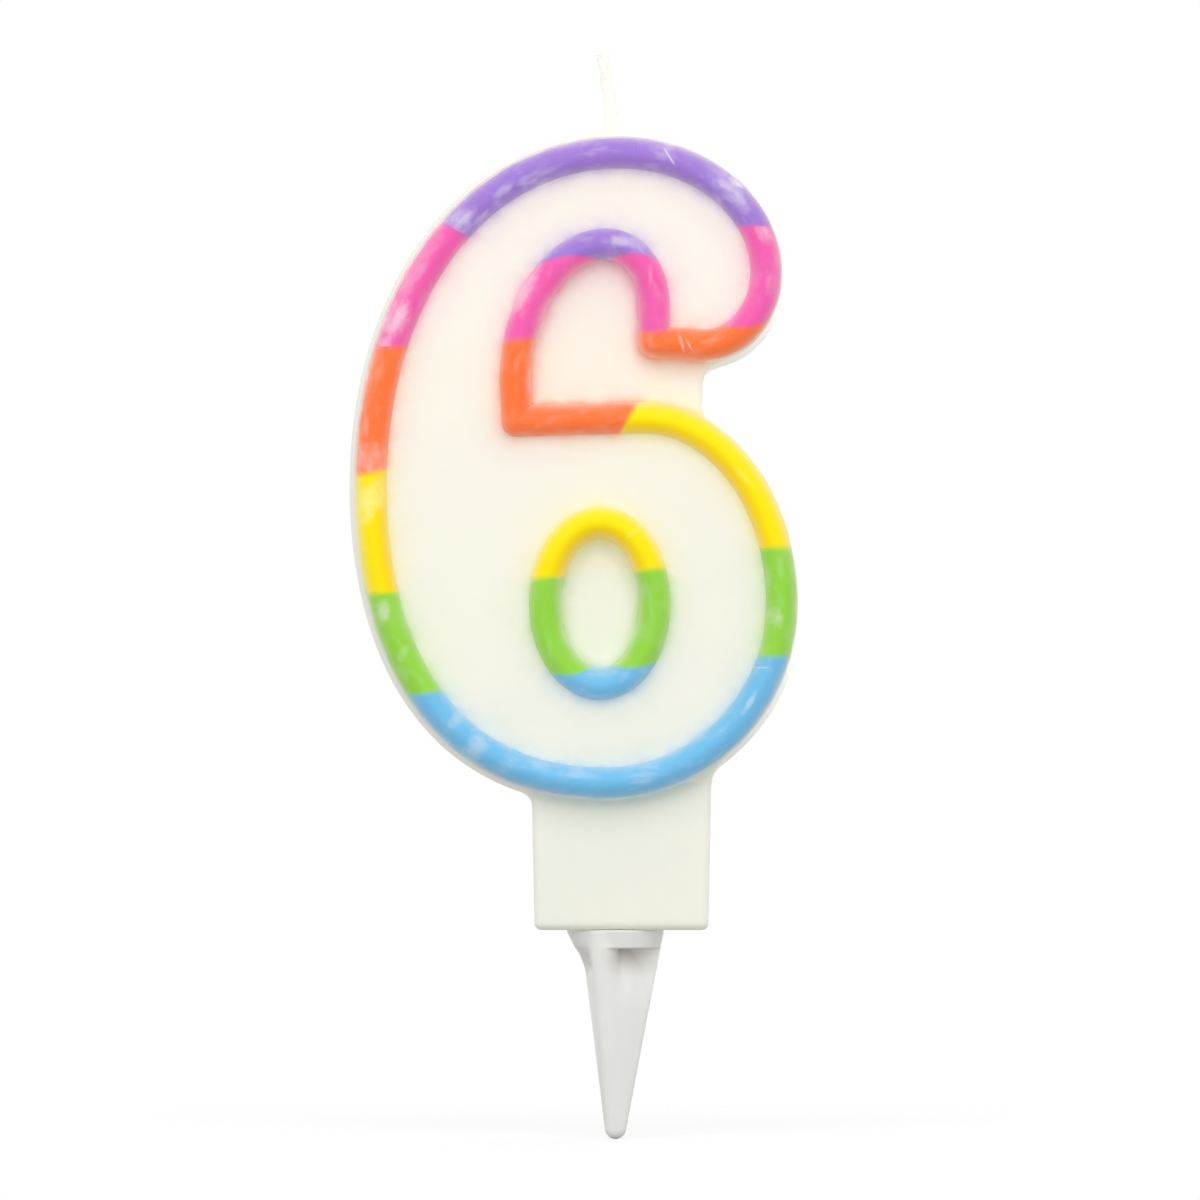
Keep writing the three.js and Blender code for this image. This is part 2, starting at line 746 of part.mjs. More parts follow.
// Colour changes, clockwise from the counter's inner corner
const changes = {
  barEnd: change(mainRun, 'bar', 0.91, 62),
  bowlTop: change(mainRun, 'bowlTop', 0.3),
  bowlRight: change(mainRun, 'bowlRight', 0.7),
  bowlLeftLow: change(mainRun, 'bowlLeft', 0.3, 9),
  bowlLeftHigh: change(mainRun, 'bowlLeft', 0.64, 5),
  backLow: change(mainRun, 'backCurve', 0.04, 10),
  backMiddle: change(mainRun, 'backCurve', 0.42),
  backHigh: change(mainRun, 'backCurve', 0.77, -31),
  hookTop: change(mainRun, 'hookTop', 0.39),
  hookBottom: change(mainRun, 'hookBottom', 0.24, 4),
  leg: change(innerRun, 'leg', 0.27),
  archRight: change(innerRun, 'archRight', 0.84),
  archLeftHigh: change(innerRun, 'archLeft', 0.91, 5),
  archLeftLow: change(innerRun, 'archLeft', 0.31, 7),
  ovalTopRight: change(ovalRun, 'ovalTopRight', 0.42, 6),
  ovalLowRight: change(ovalRun, 'ovalLowRight', 0.21, 5),
  ovalLowLeft: change(ovalRun, 'ovalLowLeft', 0.13, 9),
  ovalTopLeft: change(ovalRun, 'ovalTopLeft', 0.32, 5),
};

// Bands that lie between two changes of one run
const plainBands = [
  ['bead_yellow_bowl', 'yellow', mainRun, 'barEnd', 'bowlTop'],
  ['bead_green_right', 'green', mainRun, 'bowlTop', 'bowlRight'],
  ['bead_blue_bottom', 'blue', mainRun, 'bowlRight', 'bowlLeftLow'],
  ['bead_green_left', 'green', mainRun, 'bowlLeftLow', 'bowlLeftHigh'],
  ['bead_yellow_left', 'yellow', mainRun, 'bowlLeftHigh', 'backLow'],
  ['bead_orange_left', 'orange', mainRun, 'backLow', 'backMiddle'],
  ['bead_pink_left', 'pink', mainRun, 'backMiddle', 'backHigh'],
  ['bead_purple_crown', 'purple', mainRun, 'backHigh', 'hookTop'],
  ['bead_pink_hook', 'pink', mainRun, 'hookTop', 'hookBottom'],
  ['bead_pink_leg', 'pink', innerRun, 'leg', 'archRight'],
  ['bead_purple_arch', 'purple', innerRun, 'archRight', 'archLeftHigh'],
  ['bead_pink_arch', 'pink', innerRun, 'archLeftHigh', 'archLeftLow'],
  ['oval_green_right', 'green', ovalRun, 'ovalTopRight', 'ovalLowRight'],
  ['oval_blue', 'blue', ovalRun, 'ovalLowRight', 'ovalLowLeft'],
  ['oval_green_left', 'green', ovalRun, 'ovalLowLeft', 'ovalTopLeft'],
];

const candle = new THREE.Group();

function addPiece(name, geometry, material, group = candle) {
  const mesh = new THREE.Mesh(geometry, material);
  mesh.name = name;
  group.add(mesh);
  return mesh;
}

addPiece('wax_body', waxBody(), finishes.white);

const bead = new THREE.Group();
candle.add(bead);
for (const [name, colour, run, from, to] of plainBands) {
  addPiece(name, beadBetween(run, changes[from], changes[to]), finishes[colour], bead);
}
const ovalStart = changes.ovalTopLeft;
const ovalEnd = {
  along: changes.ovalTopRight.along + ovalRun.length,
  shear: changes.ovalTopRight.shear,
};
addPiece('oval_yellow', beadBetween(ovalRun, ovalStart, ovalEnd), finishes.yellow, bead);
const legBand = beadBetween(innerRun, changes.leg, changes.archRight);
addPiece(
  'bead_orange_hook',
  beadRoundCorner(mainRun, changes.hookBottom, hookCorner, innerRun, changes.leg, legBand),
  finishes.orange,
  bead,
);
const bowlBand = beadBetween(mainRun, changes.barEnd, changes.bowlTop);
addPiece(
  'bead_orange_stem',
  beadRoundCorner(
    innerRun, changes.archLeftLow, innerCorner, mainRun, changes.barEnd, bowlBand,
  ),
  finishes.orange,
  bead,
);

const wickMesh = addPiece('wick', wick(), finishes.cotton);
wickMesh.position.x = wickX;

addPiece('pick', pick(), finishes.plastic);

export default candle;
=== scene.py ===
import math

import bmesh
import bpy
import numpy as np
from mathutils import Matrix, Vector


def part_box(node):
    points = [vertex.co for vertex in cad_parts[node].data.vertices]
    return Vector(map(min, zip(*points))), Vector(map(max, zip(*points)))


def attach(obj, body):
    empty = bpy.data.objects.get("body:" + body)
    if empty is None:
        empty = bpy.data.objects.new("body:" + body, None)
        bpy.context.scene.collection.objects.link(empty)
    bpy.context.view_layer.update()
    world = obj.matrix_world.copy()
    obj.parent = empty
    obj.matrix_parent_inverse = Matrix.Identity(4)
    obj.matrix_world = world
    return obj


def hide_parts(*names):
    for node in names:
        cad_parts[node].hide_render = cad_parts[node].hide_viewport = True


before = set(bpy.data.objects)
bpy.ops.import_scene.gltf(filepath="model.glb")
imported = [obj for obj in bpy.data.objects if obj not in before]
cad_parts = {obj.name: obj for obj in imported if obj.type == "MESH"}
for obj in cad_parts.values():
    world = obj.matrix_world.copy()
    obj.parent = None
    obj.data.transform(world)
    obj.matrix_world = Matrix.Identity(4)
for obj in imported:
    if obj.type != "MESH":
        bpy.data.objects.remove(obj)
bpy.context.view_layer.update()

# A birthday candle shaped as the numeral 6, on a plastic pick.
#
# Metres, +Z up, the numeral faces -Y. The white casting is the skin of a field of distances.
# Each band of coloured bead, the wick and the pick are surfaces worked out on grids.
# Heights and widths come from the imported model. What it can't tell is a named size here.

MM = 0.001
DEGREE = math.pi / 180

# The bead
BEAD_WIDTH = 3.6 * MM
BEAD_RISE = 1.7 * MM
BEAD_TUCK = 0.07 * MM  # how far each edge of the bead reaches into the white beside it
BEAD_SKIRT = 0.6 * MM  # depth of the bead's hidden foot
BEAD_STEP = 0.25 * MM
BEAD_ROWS = 26
SECTION_POWER = 1.6  # 1 makes the section half an ellipse, and 2 a parabola
BEAD_UNEVEN = 0.03  # share of the rise by which it varies
FAN_STEPS = 10  # round a sharp corner
CURVE_POINTS = 200
LINE_POINTS = 60

# The white fillet along the bead
FILLET_RISE = 0.32 * MM
FILLET_REACH = 0.5 * MM
FILLET_TOP = 0.1 * MM  # how far it climbs on under the bead

# The numeral's wall and the depths of the casting
FRONT_LIP = 0.15 * MM
RIM = 0.9 * MM
SLAB_DEPTH = 11.6 * MM
WEB_RECESS = 1.8 * MM
NECK_RECESS = 2.4 * MM
OVAL_RECESS = 1.8 * MM
OVAL_SLOPE = 0.6  # how fast the oval's wall leans in
INNER_LIP = 0.03 * MM  # beyond the bead's edge, in the counter and the oval

# Rounds of the casting
FRONT_ROUND = 0.3 * MM
BACK_ROUND = 0.6 * MM
POCKET_ROUND = 0.9 * MM
WEB_ROUND = 0.7 * MM
WEB_FOOT = 1.2 * MM
NECK_ROUND = 1.0 * MM
NECK_FOOT = 0.9 * MM
COLLAR_FOOT = 0.9 * MM
COLLAR_HALF = 0.2 * MM  # half the height of the wax collar round the wick

# The back, the open side of the mould
BACK_DIP = 0.35 * MM  # how far the wax has sunk inside its raised edge
BACK_EDGE = 0.5 * MM
BACK_SLOPE = 4.5 * MM

# Slow waves of the wax: their length and phase, how far the phase sways, and over what length
ACROSS_WAVE = (2.6 * MM, 0.0, 1.3, 4.1 * MM)
UP_WAVE = (3.3 * MM, 0.7, 1.1, 3.7 * MM)
SLANT_WAVE = (1.9 * MM, 2.1, 0.0, 1.0 * MM)
BACK_WAVE = (5.1 * MM, 0.0, 1.7, 8.3 * MM)
WAVE_HEIGHT = 0.03 * MM

# The grid that the casting is worked out on
CELL = 0.35 * MM
FINE_CELL = 0.22 * MM  # from front to back, near the face and the back
COARSE_CELL = 0.8 * MM
FINE_DEPTH = 1.4 * MM  # how far the fine cells go past the neck's face, and from the back
GRID_EDGE = 1.2 * MM
GRID_END = 1.001  # how many cells before the grid's end the last place is read
OUTLINE_STEP = 0.5 * MM  # from point to point of a centreline
SETTLE_REACH = 0.04 * MM  # over which the slope of the field is measured
RECESS_SOFT = 1.0 * MM  # how softly a recess's stain and painted glow give way at its edge, to either side

# The centreline's turning points, and how far its curves reach into their corners
BACK_RISE = 34.0 * MM
BOWL_RISE = 20.6 * MM
BOTTOM_ACROSS = 26.7 * MM
CROWN_ACROSS = 28.5 * MM
SHOULDER_ACROSS = 30.8 * MM
BAR_SLOPE = 0.4 * MM
STEM_RISE = 4.5 * MM
STEM_LEAN = 0.2 * MM
ARCH_ACROSS = 10.6 * MM
LEG_RISE = 4.1 * MM
HOOK_FOOT_RISE = 0.4 * MM
HOOK_ACROSS = 5.6 * MM
HOOK_RISE = 8.3 * MM
ROUND_TURN = 0.55
OPEN_TURN = 0.58
FULL_TURN = 0.7

# The web's open edge and the neck
WEB_ACROSS = 38.0 * MM
HOOK_FILLET = 4.0 * MM
BOWL_FILLET = 1.4 * MM
NECK_WIDTH = 20.7 * MM
NECK_TAPER = 0.35 * MM
NECK_OFFSET = 0.7 * MM
NECK_FILLET = 3.0 * MM
NECK_CORNER = 0.8 * MM

# The pick
HEAD_SIDE = 2.0 * MM
HEAD_TAPER = 1.0 * MM
HEAD_FLARE = 3.6 * MM
HEAD_EDGE = 0.25 * MM
FLARE_RADIUS = 2.5 * MM
FLARE_HOLLOW = 0.4  # share of the flare's height where it bends most
SPIKE_SIDES = 3
SPIKE_TURN = 8 * DEGREE  # from the X axis to the first corner, towards the back
SPIKE_TOP = 0.3 * MM
SPIKE_REACH = 5.6 * MM
SPIKE_CORNER = 1.5 * MM
TIP_RADIUS = 1.25 * MM
TIP_CORNER = 1.15 * MM
HEAD_BLEND = 0.4 * MM  # how softly the head's side meets the spike
FLARE_BLEND = 1.5 * MM  # the same for the flare
SCOOP_FLOOR = 0.9 * MM
SCOOP_ROOF = 0.3 * MM  # height of the scoop's roof, under the head's side
SCOOP_FALL = 7.0 * MM  # how far down the scoop runs out
SCOOP_POWER = 1.6  # how fast it runs out at first
SCOOP_ENDS = (6 * DEGREE, 13 * DEGREE)  # from the first corner to the scoop's wall
SCOOP_SOFT_ENDS = (8 * DEGREE, 42 * DEGREE)  # from its other corner
SCOOP_SHADE_ENDS = (-4 * DEGREE, 26 * DEGREE)  # the same for where shade is painted on it
SCOOP_SHADE_DOWN = (3.92 * MM, 1.12 * MM)  # where that painted shade ends under the head, and is whole
HOLLOW_DEPTH = 0.5 * MM  # of the shallow hollow on the flare's left
HOLLOW_FACING = -150 * DEGREE
HOLLOW_ENDS = (28 * DEGREE, 2 * DEGREE)  # from its middle
# where shade is painted on the flare's left: the way it faces, and its ends from its middle
HOLLOW_SHADE_FACING = -165 * DEGREE
HOLLOW_SHADE_ENDS = (44 * DEGREE, 4 * DEGREE)
PEG_RADIUS = 1.6 * MM
PEG_FLAT = 0.3  # share of the peg's radius that is flat on top
PEG_STRAIGHT = 0.9  # share of its height below the round
TIP_SHARE = 0.97  # of a quarter turn, down to the last ring of the tip
SIDE_POINTS = 64  # of each ring, on each side of the spike

# The wick
WICK_RADIUS = 0.8 * MM
WICK_PITCH = 2.6 * MM
WICK_TIP = 0.35 * MM  # height of its round end
WICK_CORE = 0.86  # share of the radius that the strands stand on
WICK_STRAND = 0.13
STRANDS = 3

# Colours, as seen
WHITE_HIGH = (252, 243, 233)
SHADED_WHITE_LOW = (240, 242, 229)
WHITE_SHADE_CLIMB = (15 * MM, 92 * MM)  # where the darker low white, which is painted shade, ends and the high one starts
WHITE_CLOUD = (249, 246, 232)
COLOURS = {
    "purple": (158, 122, 209),
    "pink": (243, 96, 174),
    "orange": (255, 120, 60),
    "yellow": (253, 230, 6),
    "green": (148, 213, 68),
    "blue": (114, 190, 233),
}
PALE = (250, 246, 244)  # what a rubbed spot pales to
PALE_YELLOW = (254, 248, 150)
SHADED_YELLOW = (255, 214, 0)  # painted shade: the deeper yellow on the inner flank of the bead
SHADED_ACROSS = (-0.7, 0.1)  # where that ends, in half widths of the bead, outward
SHADED_SHARE = 0.85
COTTON = ((250, 247, 234), (255, 254, 248))
PLASTIC = ((237, 238, 234), (240, 240, 236))
# painted shade in the pick's scoop and hollow
PLASTIC_PAINTED_SHADE = (206, 201, 193)
THIN = (0.3, 0.45)  # how much white shows at the bead's edges, from cloud to cloud
THIN_POWER = 4.0
HAZE = 0.05
RUBBED = 0.75
BRUSHED = {  # how pale the brush marks along each colour are
    "purple": 0.3, "pink": 0.08, "orange": 0.1, "yellow": 0.0, "green": 0.1, "blue": 0.2,
}
BLEND_LENGTH = 0.55 * MM  # of one colour into the next, on the bead

# The colour that runs into the white beside the bead, dye together with painted coloured
# glow from the bead: its share at the bead's edge, how far it reaches, and how far
# neighbouring colours have run together
NEAR_STAIN_AND_GLOW = 0.22
NEAR_REACH = 0.4 * MM
WALL_STAIN_AND_GLOW = 0.6  # the same on the wall of a recess
WIDE_STAIN_AND_GLOW = 0.27
WIDE_REACH = 1.2 * MM
RECESS_REACH = 0.85 * MM  # on the recessed wax
UNDER_PAINTED_BOUNCE = 0.1  # painted coloured bounce light in the shade on the counter's and the oval's floor, below the bead
HOOK_PAINTED_BOUNCE = 0.08  # the same painted bounce below the hook
UNDER_REACH = 2.5 * MM
STAIN_AND_GLOW_BLEND = 4.0 * MM
# the step up that tells whether the bead lies above a point, for the painted bounce
BOUNCE_STEP = 1.0 * MM
WALL_DEPTHS = (2.6 * MM, 0.5 * MM)  # behind the face, where the stain and painted glow end and are whole
RECESS_DEPTHS = (3.8 * MM, 2.6 * MM)  # the same in the recesses and on the neck

# Pale rubbed spots on the bead: X and Z, the turn of the long side, half its length and
# half its width in millimetres, and how pale
SCUFFS = {
    "purple": [
        (6.2, 88.8, -58, 1.3, 0.16, 0.8),
        (13.2, 85.0, -48, 3.6, 1.4, 0.55),
        (13.8, 85.8, -45, 1.2, 0.7, 0.9),
        (-17.7, 81.5, 50, 2.0, 1.4, 0.65),
        (0.8, 79.1, 0, 2.0, 0.9, 0.5),
        (-12.9, 85.0, 40, 1.6, 0.6, 0.45),
        (-8.0, 87.0, 20, 2.2, 0.5, 0.25),
    ],
    "pink": [
        (-25.2, 70.4, 62, 2.6, 1.8, 0.65),
        (-23.2, 75.0, 58, 6.0, 0.9, 0.3),
        (-26.4, 67.4, 70, 1.2, 0.9, 0.4),
        (17.0, 80.0, -65, 1.5, 0.9, 0.45),
        (17.9, 74.2, -85, 1.7, 0.9, 0.25),
        (-11.0, 73.6, 66, 4.4, 1.8, 0.55),
        (4.0, 75.4, 90, 1.4, 0.35, 0.25),
    ],
    "orange": [
        (-27.9, 54.2, 85, 2.2, 2.2, 0.4),
        (7.5, 67.7, -72, 1.3, 0.22, 0.8),
        (8.4, 67.3, -60, 0.9, 0.14, 0.5),
        (-28.6, 57.8, 88, 1.6, 0.4, 0.25),
    ],
    "yellow": [
        (-28.0, 49.6, 55, 2.8, 1.7, 1.0),
        (-28.6, 47.4, 55, 1.8, 0.8, 0.6),
        (14.6, 52.2, -45, 2.0, 0.5, 0.3),
        (2.0, 45.6, 30, 1.2, 0.4, 0.3),
    ],
    "green": [
        (18.3, 36.0, -80, 1.5, 0.9, 0.55),
        (-26.6, 36.6, 75, 1.5, 1.2, 0.5),
        (18.9, 41.6, -85, 1.6, 0.5, 0.25),
        (-24.4, 31.8, 62, 1.2, 0.6, 0.3),
    ],
    "blue": [
        (-18.2, 24.2, 50, 1.6, 0.9, 0.5),
        (-16.2, 20.9, 48, 2.2, 1.4, 0.4),
        (15.4, 26.2, 60, 1.7, 0.4, 0.6),
        (3.0, 17.9, 4, 2.6, 0.4, 0.25),
        (16.6, 30.2, 0, 1.4, 0.12, 0.5),
    ],
}

# The frame of the photograph, at the middle of the numeral's depth
FRAME_SIDE = 138.0 * MM
FRAME_X = -1.78 * MM
FRAME_Y = -3.0 * MM
FRAME_Z = 37.95 * MM
CAMERA_AWAY = 2.2
SENSOR = 36.0  # the width of the camera's film, in millimetres

# Light and floor
SKY_ABOVE = 0.92
SKY_BELOW = 0.7
LAMPS = [  # name, place, width and watts
    ("key", (-0.03, -0.82, 0.6), 0.8, 3.6),
    ("rear_fill", (0.35, 0.9, 0.2), 0.6, 2.4),
]
FLOOR_HALF = 0.4
FLOOR_FADE = (0.04, 0.22)  # from the middle, where the floor starts to fade and has gone
FLOOR_GREY = (0.5, 0.5, 0.5, 1.0)
FLOOR_LIFT = 0.46
PLAIN_WHITE = (1.0, 1.0, 1.0, 1.0)


def linear(rgb):
    """The light that a screen colour from 0 to 255 stands for."""
    share = np.array(rgb, float) / 255
    return np.where(share <= 0.04045, share / 12.92, ((share + 0.055) / 1.055) ** 2.4)


def span(*nodes):
    """Lowest and highest corner of several CAD nodes taken together."""
    boxes = [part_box(node) for node in nodes]
    return np.min([box[0] for box in boxes], axis=0), np.max([box[1] for box in boxes], axis=0)


# Planes and extremes of the centreline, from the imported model
HALF = BEAD_WIDTH / 2
FACE_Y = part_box("bead_blue_bottom")[1][1]
wax_low, wax_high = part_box("wax_body")
BACK_Y = wax_high[1]
back_x = span("bead_orange_left", "bead_yellow_left")[0][0] + HALF
bowl_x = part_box("bead_green_right")[1][0] - HALF
hook_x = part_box("bead_pink_hook")[1][0] - HALF
stem_x = span("bead_orange_stem", "bead_pink_arch")[0][0] + HALF
leg_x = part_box("bead_pink_leg")[1][0] - HALF
bottom_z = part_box("bead_blue_bottom")[0][2] + HALF
crown_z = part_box("bead_purple_crown")[1][2] - HALF
bar_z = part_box("bead_orange_stem")[0][2] + HALF
arch_z = span("bead_purple_arch", "bead_pink_arch")[1][2] - HALF
hook_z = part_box("bead_orange_hook")[0][2] + HALF
oval_low, oval_high = span("oval_yellow", "oval_blue", "oval_green_left", "oval_green_right")
seat_z = wax_low[2]
wall_top_z = wax_high[2]
pick_low, pick_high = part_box("pick")
wick_low, wick_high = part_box("wick")
wick_x = wick_high[0] - WICK_RADIUS
web_x = back_x + WEB_ACROSS


def quarter(start, corner, end, fullness=ROUND_TURN, fullness_end=None):
    """A quarter turn: the cubic curve from start to end whose handles lie the given share
    of the way to the corner."""
    start, corner, end = (np.array(p, float) for p in (start, corner, end))
    leave = start + (corner - start) * fullness
    arrive = end + (corner - end) * (fullness if fullness_end is None else fullness_end)
    t = np.linspace(0, 1, CURVE_POINTS)[:, None]
    back = 1 - t
    return back**3 * start + 3 * back**2 * t * leave + 3 * back * t**2 * arrive + t**3 * end


def from_upright(start, end, *fullness):
    """A quarter turn that leaves its start upright."""
    return quarter(start, (start[0], end[1]), end, *fullness)


def from_level(start, end, *fullness):
    """A quarter turn that leaves its start level."""
    return quarter(start, (end[0], start[1]), end, *fullness)


def straight(start, end):
    """Points of the straight line from start to end."""
    t = np.linspace(0, 1, LINE_POINTS)[:, None]
    return np.array(start) * (1 - t) + np.array(end) * t


def centrelines():
    """The stretches of the bead's centreline, clockwise: from the counter's inner corner
    round the numeral to the hook's corner, from there round the counter, and the oval's
    from its top."""
    crown = (back_x + CROWN_ACROSS, crown_z)
    back = (back_x, bottom_z + BACK_RISE)
    bottom = (back_x + BOTTOM_ACROSS, bottom_z)
    bowl = (bowl_x, bottom_z + BOWL_RISE)
    shoulder = (back_x + SHOULDER_ACROSS, bar_z + BAR_SLOPE)
    inner = (stem_x + STEM_LEAN, bar_z)
    stem_top = (stem_x, bar_z + STEM_RISE)
    arch_top = (stem_x + ARCH_ACROSS, arch_z)
    foot = (leg_x, hook_z + HOOK_FOOT_RISE)
    leg_top = (leg_x, foot[1] + LEG_RISE)
    hook_low = (leg_x + HOOK_ACROSS, hook_z)
    hook_side = (hook_x, hook_z + HOOK_RISE)
    bar_slope = (shoulder[1] - inner[1]) / (shoulder[0] - inner[0])
    over_bowl = (bowl[0], inner[1] + (bowl[0] - inner[0]) * bar_slope)
    middle = (oval_low + oval_high) / 2
    top = (middle[0], oval_high[2] - HALF)
    low = (middle[0], oval_low[2] + HALF)
    right = (oval_high[0] - HALF, middle[2])
    left = (oval_low[0] + HALF, middle[2])
    around = {
        "bar": straight(inner, shoulder),
        "bowl_top": quarter(shoulder, over_bowl, bowl),
        "bowl_right": from_upright(bowl, bottom),
        "bowl_left": from_level(bottom, back, FULL_TURN, ROUND_TURN),
        "back": from_upright(back, crown, OPEN_TURN),
        "hook_top": from_level(crown, hook_side),
        "hook_bottom": from_upright(hook_side, hook_low),
        "hook_foot": straight(hook_low, foot),
    }
    counter = {
        "leg": straight(foot, leg_top),
        "arch_right": from_upright(leg_top, arch_top),
        "arch_left": from_level(arch_top, stem_top),
        "stem": straight(stem_top, inner),
    }
    oval = {
        "top_right": from_level(top, right),
        "low_right": from_upright(right, low),
        "low_left": from_level(low, left),
        "top_left": from_upright(left, top),
    }
    return around, counter, oval


# The bands of the three centrelines, in order: the CAD node, whose second word is the
# colour, and the change that the band starts at, as Run.change takes it. Each centreline
# starts inside a band.
BANDS = [
    [
        ("bead_orange_stem",),
        ("bead_yellow_bowl", "bar", 0.91, 62),
        ("bead_green_right", "bowl_top", 0.3),
        ("bead_blue_bottom", "bowl_right", 0.7),
        ("bead_green_left", "bowl_left", 0.3, 9),
        ("bead_yellow_left", "bowl_left", 0.64, 5),
        ("bead_orange_left", "back", 0.04, 10),
        ("bead_pink_left", "back", 0.42),
        ("bead_purple_crown", "back", 0.77, -31),
        ("bead_pink_hook", "hook_top", 0.39),
        ("bead_orange_hook", "hook_bottom", 0.24, 4),
    ],
    [
        ("bead_orange_hook",),
        ("bead_pink_leg", "leg", 0.27),
        ("bead_purple_arch", "arch_right", 0.84),
        ("bead_pink_arch", "arch_left", 0.91, 5),
        ("bead_orange_stem", "arch_left", 0.31, 7),
    ],
    [
        ("oval_yellow",),
        ("oval_green_right", "top_right", 0.42, 6),
        ("oval_blue", "low_right", 0.21, 5),
        ("oval_green_left", "low_left", 0.13, 9),
        ("oval_yellow", "top_left", 0.32, 5),
    ],
]


class Run:
    """A smooth line through named stretches, read by the distance along it. Its wax lies
    on the right of its heading, and outward is the left."""

    def __init__(self, stretches, bands):
        parts = list(stretches.values())
        self.points = np.vstack(parts[:1] + [part[1:] for part in parts[1:]])
        self.along = np.r_[0, np.cumsum(np.linalg.norm(np.diff(self.points, axis=0), axis=1))]
        self.length = self.along[-1]
        self.closed = np.allclose(self.points[0], self.points[-1])
        ends = np.cumsum([0] + [len(part) - 1 for part in parts])
        self.ends = {name: (ends[i], ends[i + 1]) for i, name in enumerate(stretches)}
        heading = np.gradient(self.points, self.along, axis=0)
        if self.closed:
            heading[0] = heading[-1] = heading[0] + heading[-1]
        heading /= np.linalg.norm(heading, axis=1, keepdims=True)
        self.left = np.stack([-heading[:, 1], heading[:, 0]], axis=1)
        self.bands = [(node, self.change(*place) if place else None) for node, *place in bands]

    def read(self, values, along):
        place = np.mod(along, self.length) if self.closed else along
        return np.stack([np.interp(place, self.along, values[:, i]) for i in (0, 1)], axis=-1)

    def at(self, along):
        return self.read(self.points, along)

    def outward(self, along):
        side = self.read(self.left, along)
        return side / np.linalg.norm(side, axis=-1, keepdims=True)

    def change(self, name, rise, tilt=0):
        """A colour change where the stretch has climbed the given share of its height,
        along a line that rises to the right by tilt degrees: its place on the centreline,
        and how far it moves along for each metre across."""
        first, last = self.ends[name]
        heights = self.points[first : last + 1, 1]
        goal = heights.min() + rise * np.ptp(heights)
        order = 1 if heights[-1] > heights[0] else -1
        along = np.interp(goal, heights[::order], self.along[first : last + 1][::order])
        side = self.outward(along)
        line = (math.cos(math.radians(tilt)), math.sin(math.radians(tilt)))
        ahead = (side[1], -side[0])
        shear = -(side[0] * line[1] - side[1] * line[0]) / (ahead[0] * line[1] - ahead[1] * line[0])
        return float(along), float(shear)


main_run, inner_run, oval_run = map(Run, centrelines(), BANDS)


def smooth(low, high, value):
    """0 below low, 1 above high, and an even rise between."""
    share = np.clip((value - low) / (high - low), 0, 1)
    return share * share * (3 - 2 * share)


def colour_of(node):
    """The name of a band's colour."""
    return node.split("_")[1]


def colour_at(run, along, across, blend):
    """The wax colour at a place of a run: each colour gives way to the next within one
    blend length of the slanting line between them."""
    place = np.mod(along, run.length) if run.closed else along
    (first, _), *others = run.bands
    mixed = np.broadcast_to(linear(COLOURS[colour_of(first)]), place.shape + (3,)).copy()
    for node, (start, shear) in others:
        share = smooth(-blend, blend, place - start - shear * across)[..., None]
        mixed = mixed * (1 - share) + linear(COLOURS[colour_of(node)]) * share
    return mixed


# Meshes

ATTRIBUTE_KINDS = {3: ("FLOAT_VECTOR", "vector"), 4: ("FLOAT_COLOR", "color")}
DOUBLE_GAP = 1e-7
EMPTY_GAP = 1e-8
SHARP_ANGLE = 55 * DEGREE


def add_object(name, data):
    """A new object in the scene."""
    made = bpy.data.objects.new(name, data)
    bpy.context.scene.collection.objects.link(made)
    return made


def add_mesh(name, points, faces, **attributes):
    """A smooth-shaded mesh object whose doubled points are merged, with its faces out. An
    attribute has three numbers or a colour's four for each point."""
    mesh = bpy.data.meshes.new(name)
    mesh.from_pydata(points.tolist(), [], faces)
    for key, values in attributes.items():
        kind, field = ATTRIBUTE_KINDS[values.shape[1]]
        mesh.attributes.new(key, kind, "POINT").data.foreach_set(field, values.ravel())
    work = bmesh.new()
    work.from_mesh(mesh)
    bmesh.ops.remove_doubles(work, verts=work.verts, dist=DOUBLE_GAP)
    bmesh.ops.dissolve_degenerate(work, edges=work.edges, dist=EMPTY_GAP)
    bmesh.ops.recalc_face_normals(work, faces=work.faces)
    work.to_mesh(mesh)
    work.free()
    mesh.shade_smooth()
    mesh.set_sharp_from_angle(angle=SHARP_ANGLE)
    return add_object(name, mesh)


def tube_faces(rings, count):
    """Faces of a skin through rings of count points each, with an end face on both ends."""
    ring = np.arange(rings - 1)[:, None] * count
    a = ring + np.arange(count)
    b = ring + (np.arange(count) + 1) % count
    walls = np.stack([a, b, b + count, a + count], axis=-1).reshape(-1, 4)
    last = (rings - 1) * count
    return walls.tolist() + [list(range(count))[::-1], list(range(last, last + count))]


# The casting

def outline_points(run):
    """Points of a run, evenly spaced, with the distance along it of each."""
    along = np.linspace(0, run.length, math.ceil(run.length / OUTLINE_STEP) + 1)
    return run.at(along), along


def distance_to(x, z, line):
    """The distance from each point to a closed line, below 0 inside it, and which segment
    is nearest. The sign comes from how often a ray towards +X crosses the line."""
    start, end = line[:-1], line[1:]
    best = np.full(x.shape, np.inf)
    nearest = np.zeros(x.shape, int)
    inside = np.zeros(x.shape, bool)
    block = 48
    for first in range(0, len(start), block):
        a = start[first : first + block]
        b = end[first : first + block]
        step = b - a
        dx = x[..., None] - a[:, 0]
        dz = z[..., None] - a[:, 1]
        share = np.clip((dx * step[:, 0] + dz * step[:, 1]) / (step**2).sum(1), 0, 1)
        gap = np.hypot(dx - share * step[:, 0], dz - share * step[:, 1])
        closest = gap.argmin(-1)
        least = np.take_along_axis(gap, closest[..., None], -1)[..., 0]
        nearest = np.where(least < best, closest + first, nearest)
        best = np.minimum(best, least)
        spans = (a[:, 1] > z[..., None]) != (b[:, 1] > z[..., None])
        rise = np.where(step[:, 1] == 0, 1, step[:, 1])
        inside ^= (spans & (dx < dz * step[:, 0] / rise)).sum(-1) % 2 == 1
    return np.where(inside, -best, best), nearest


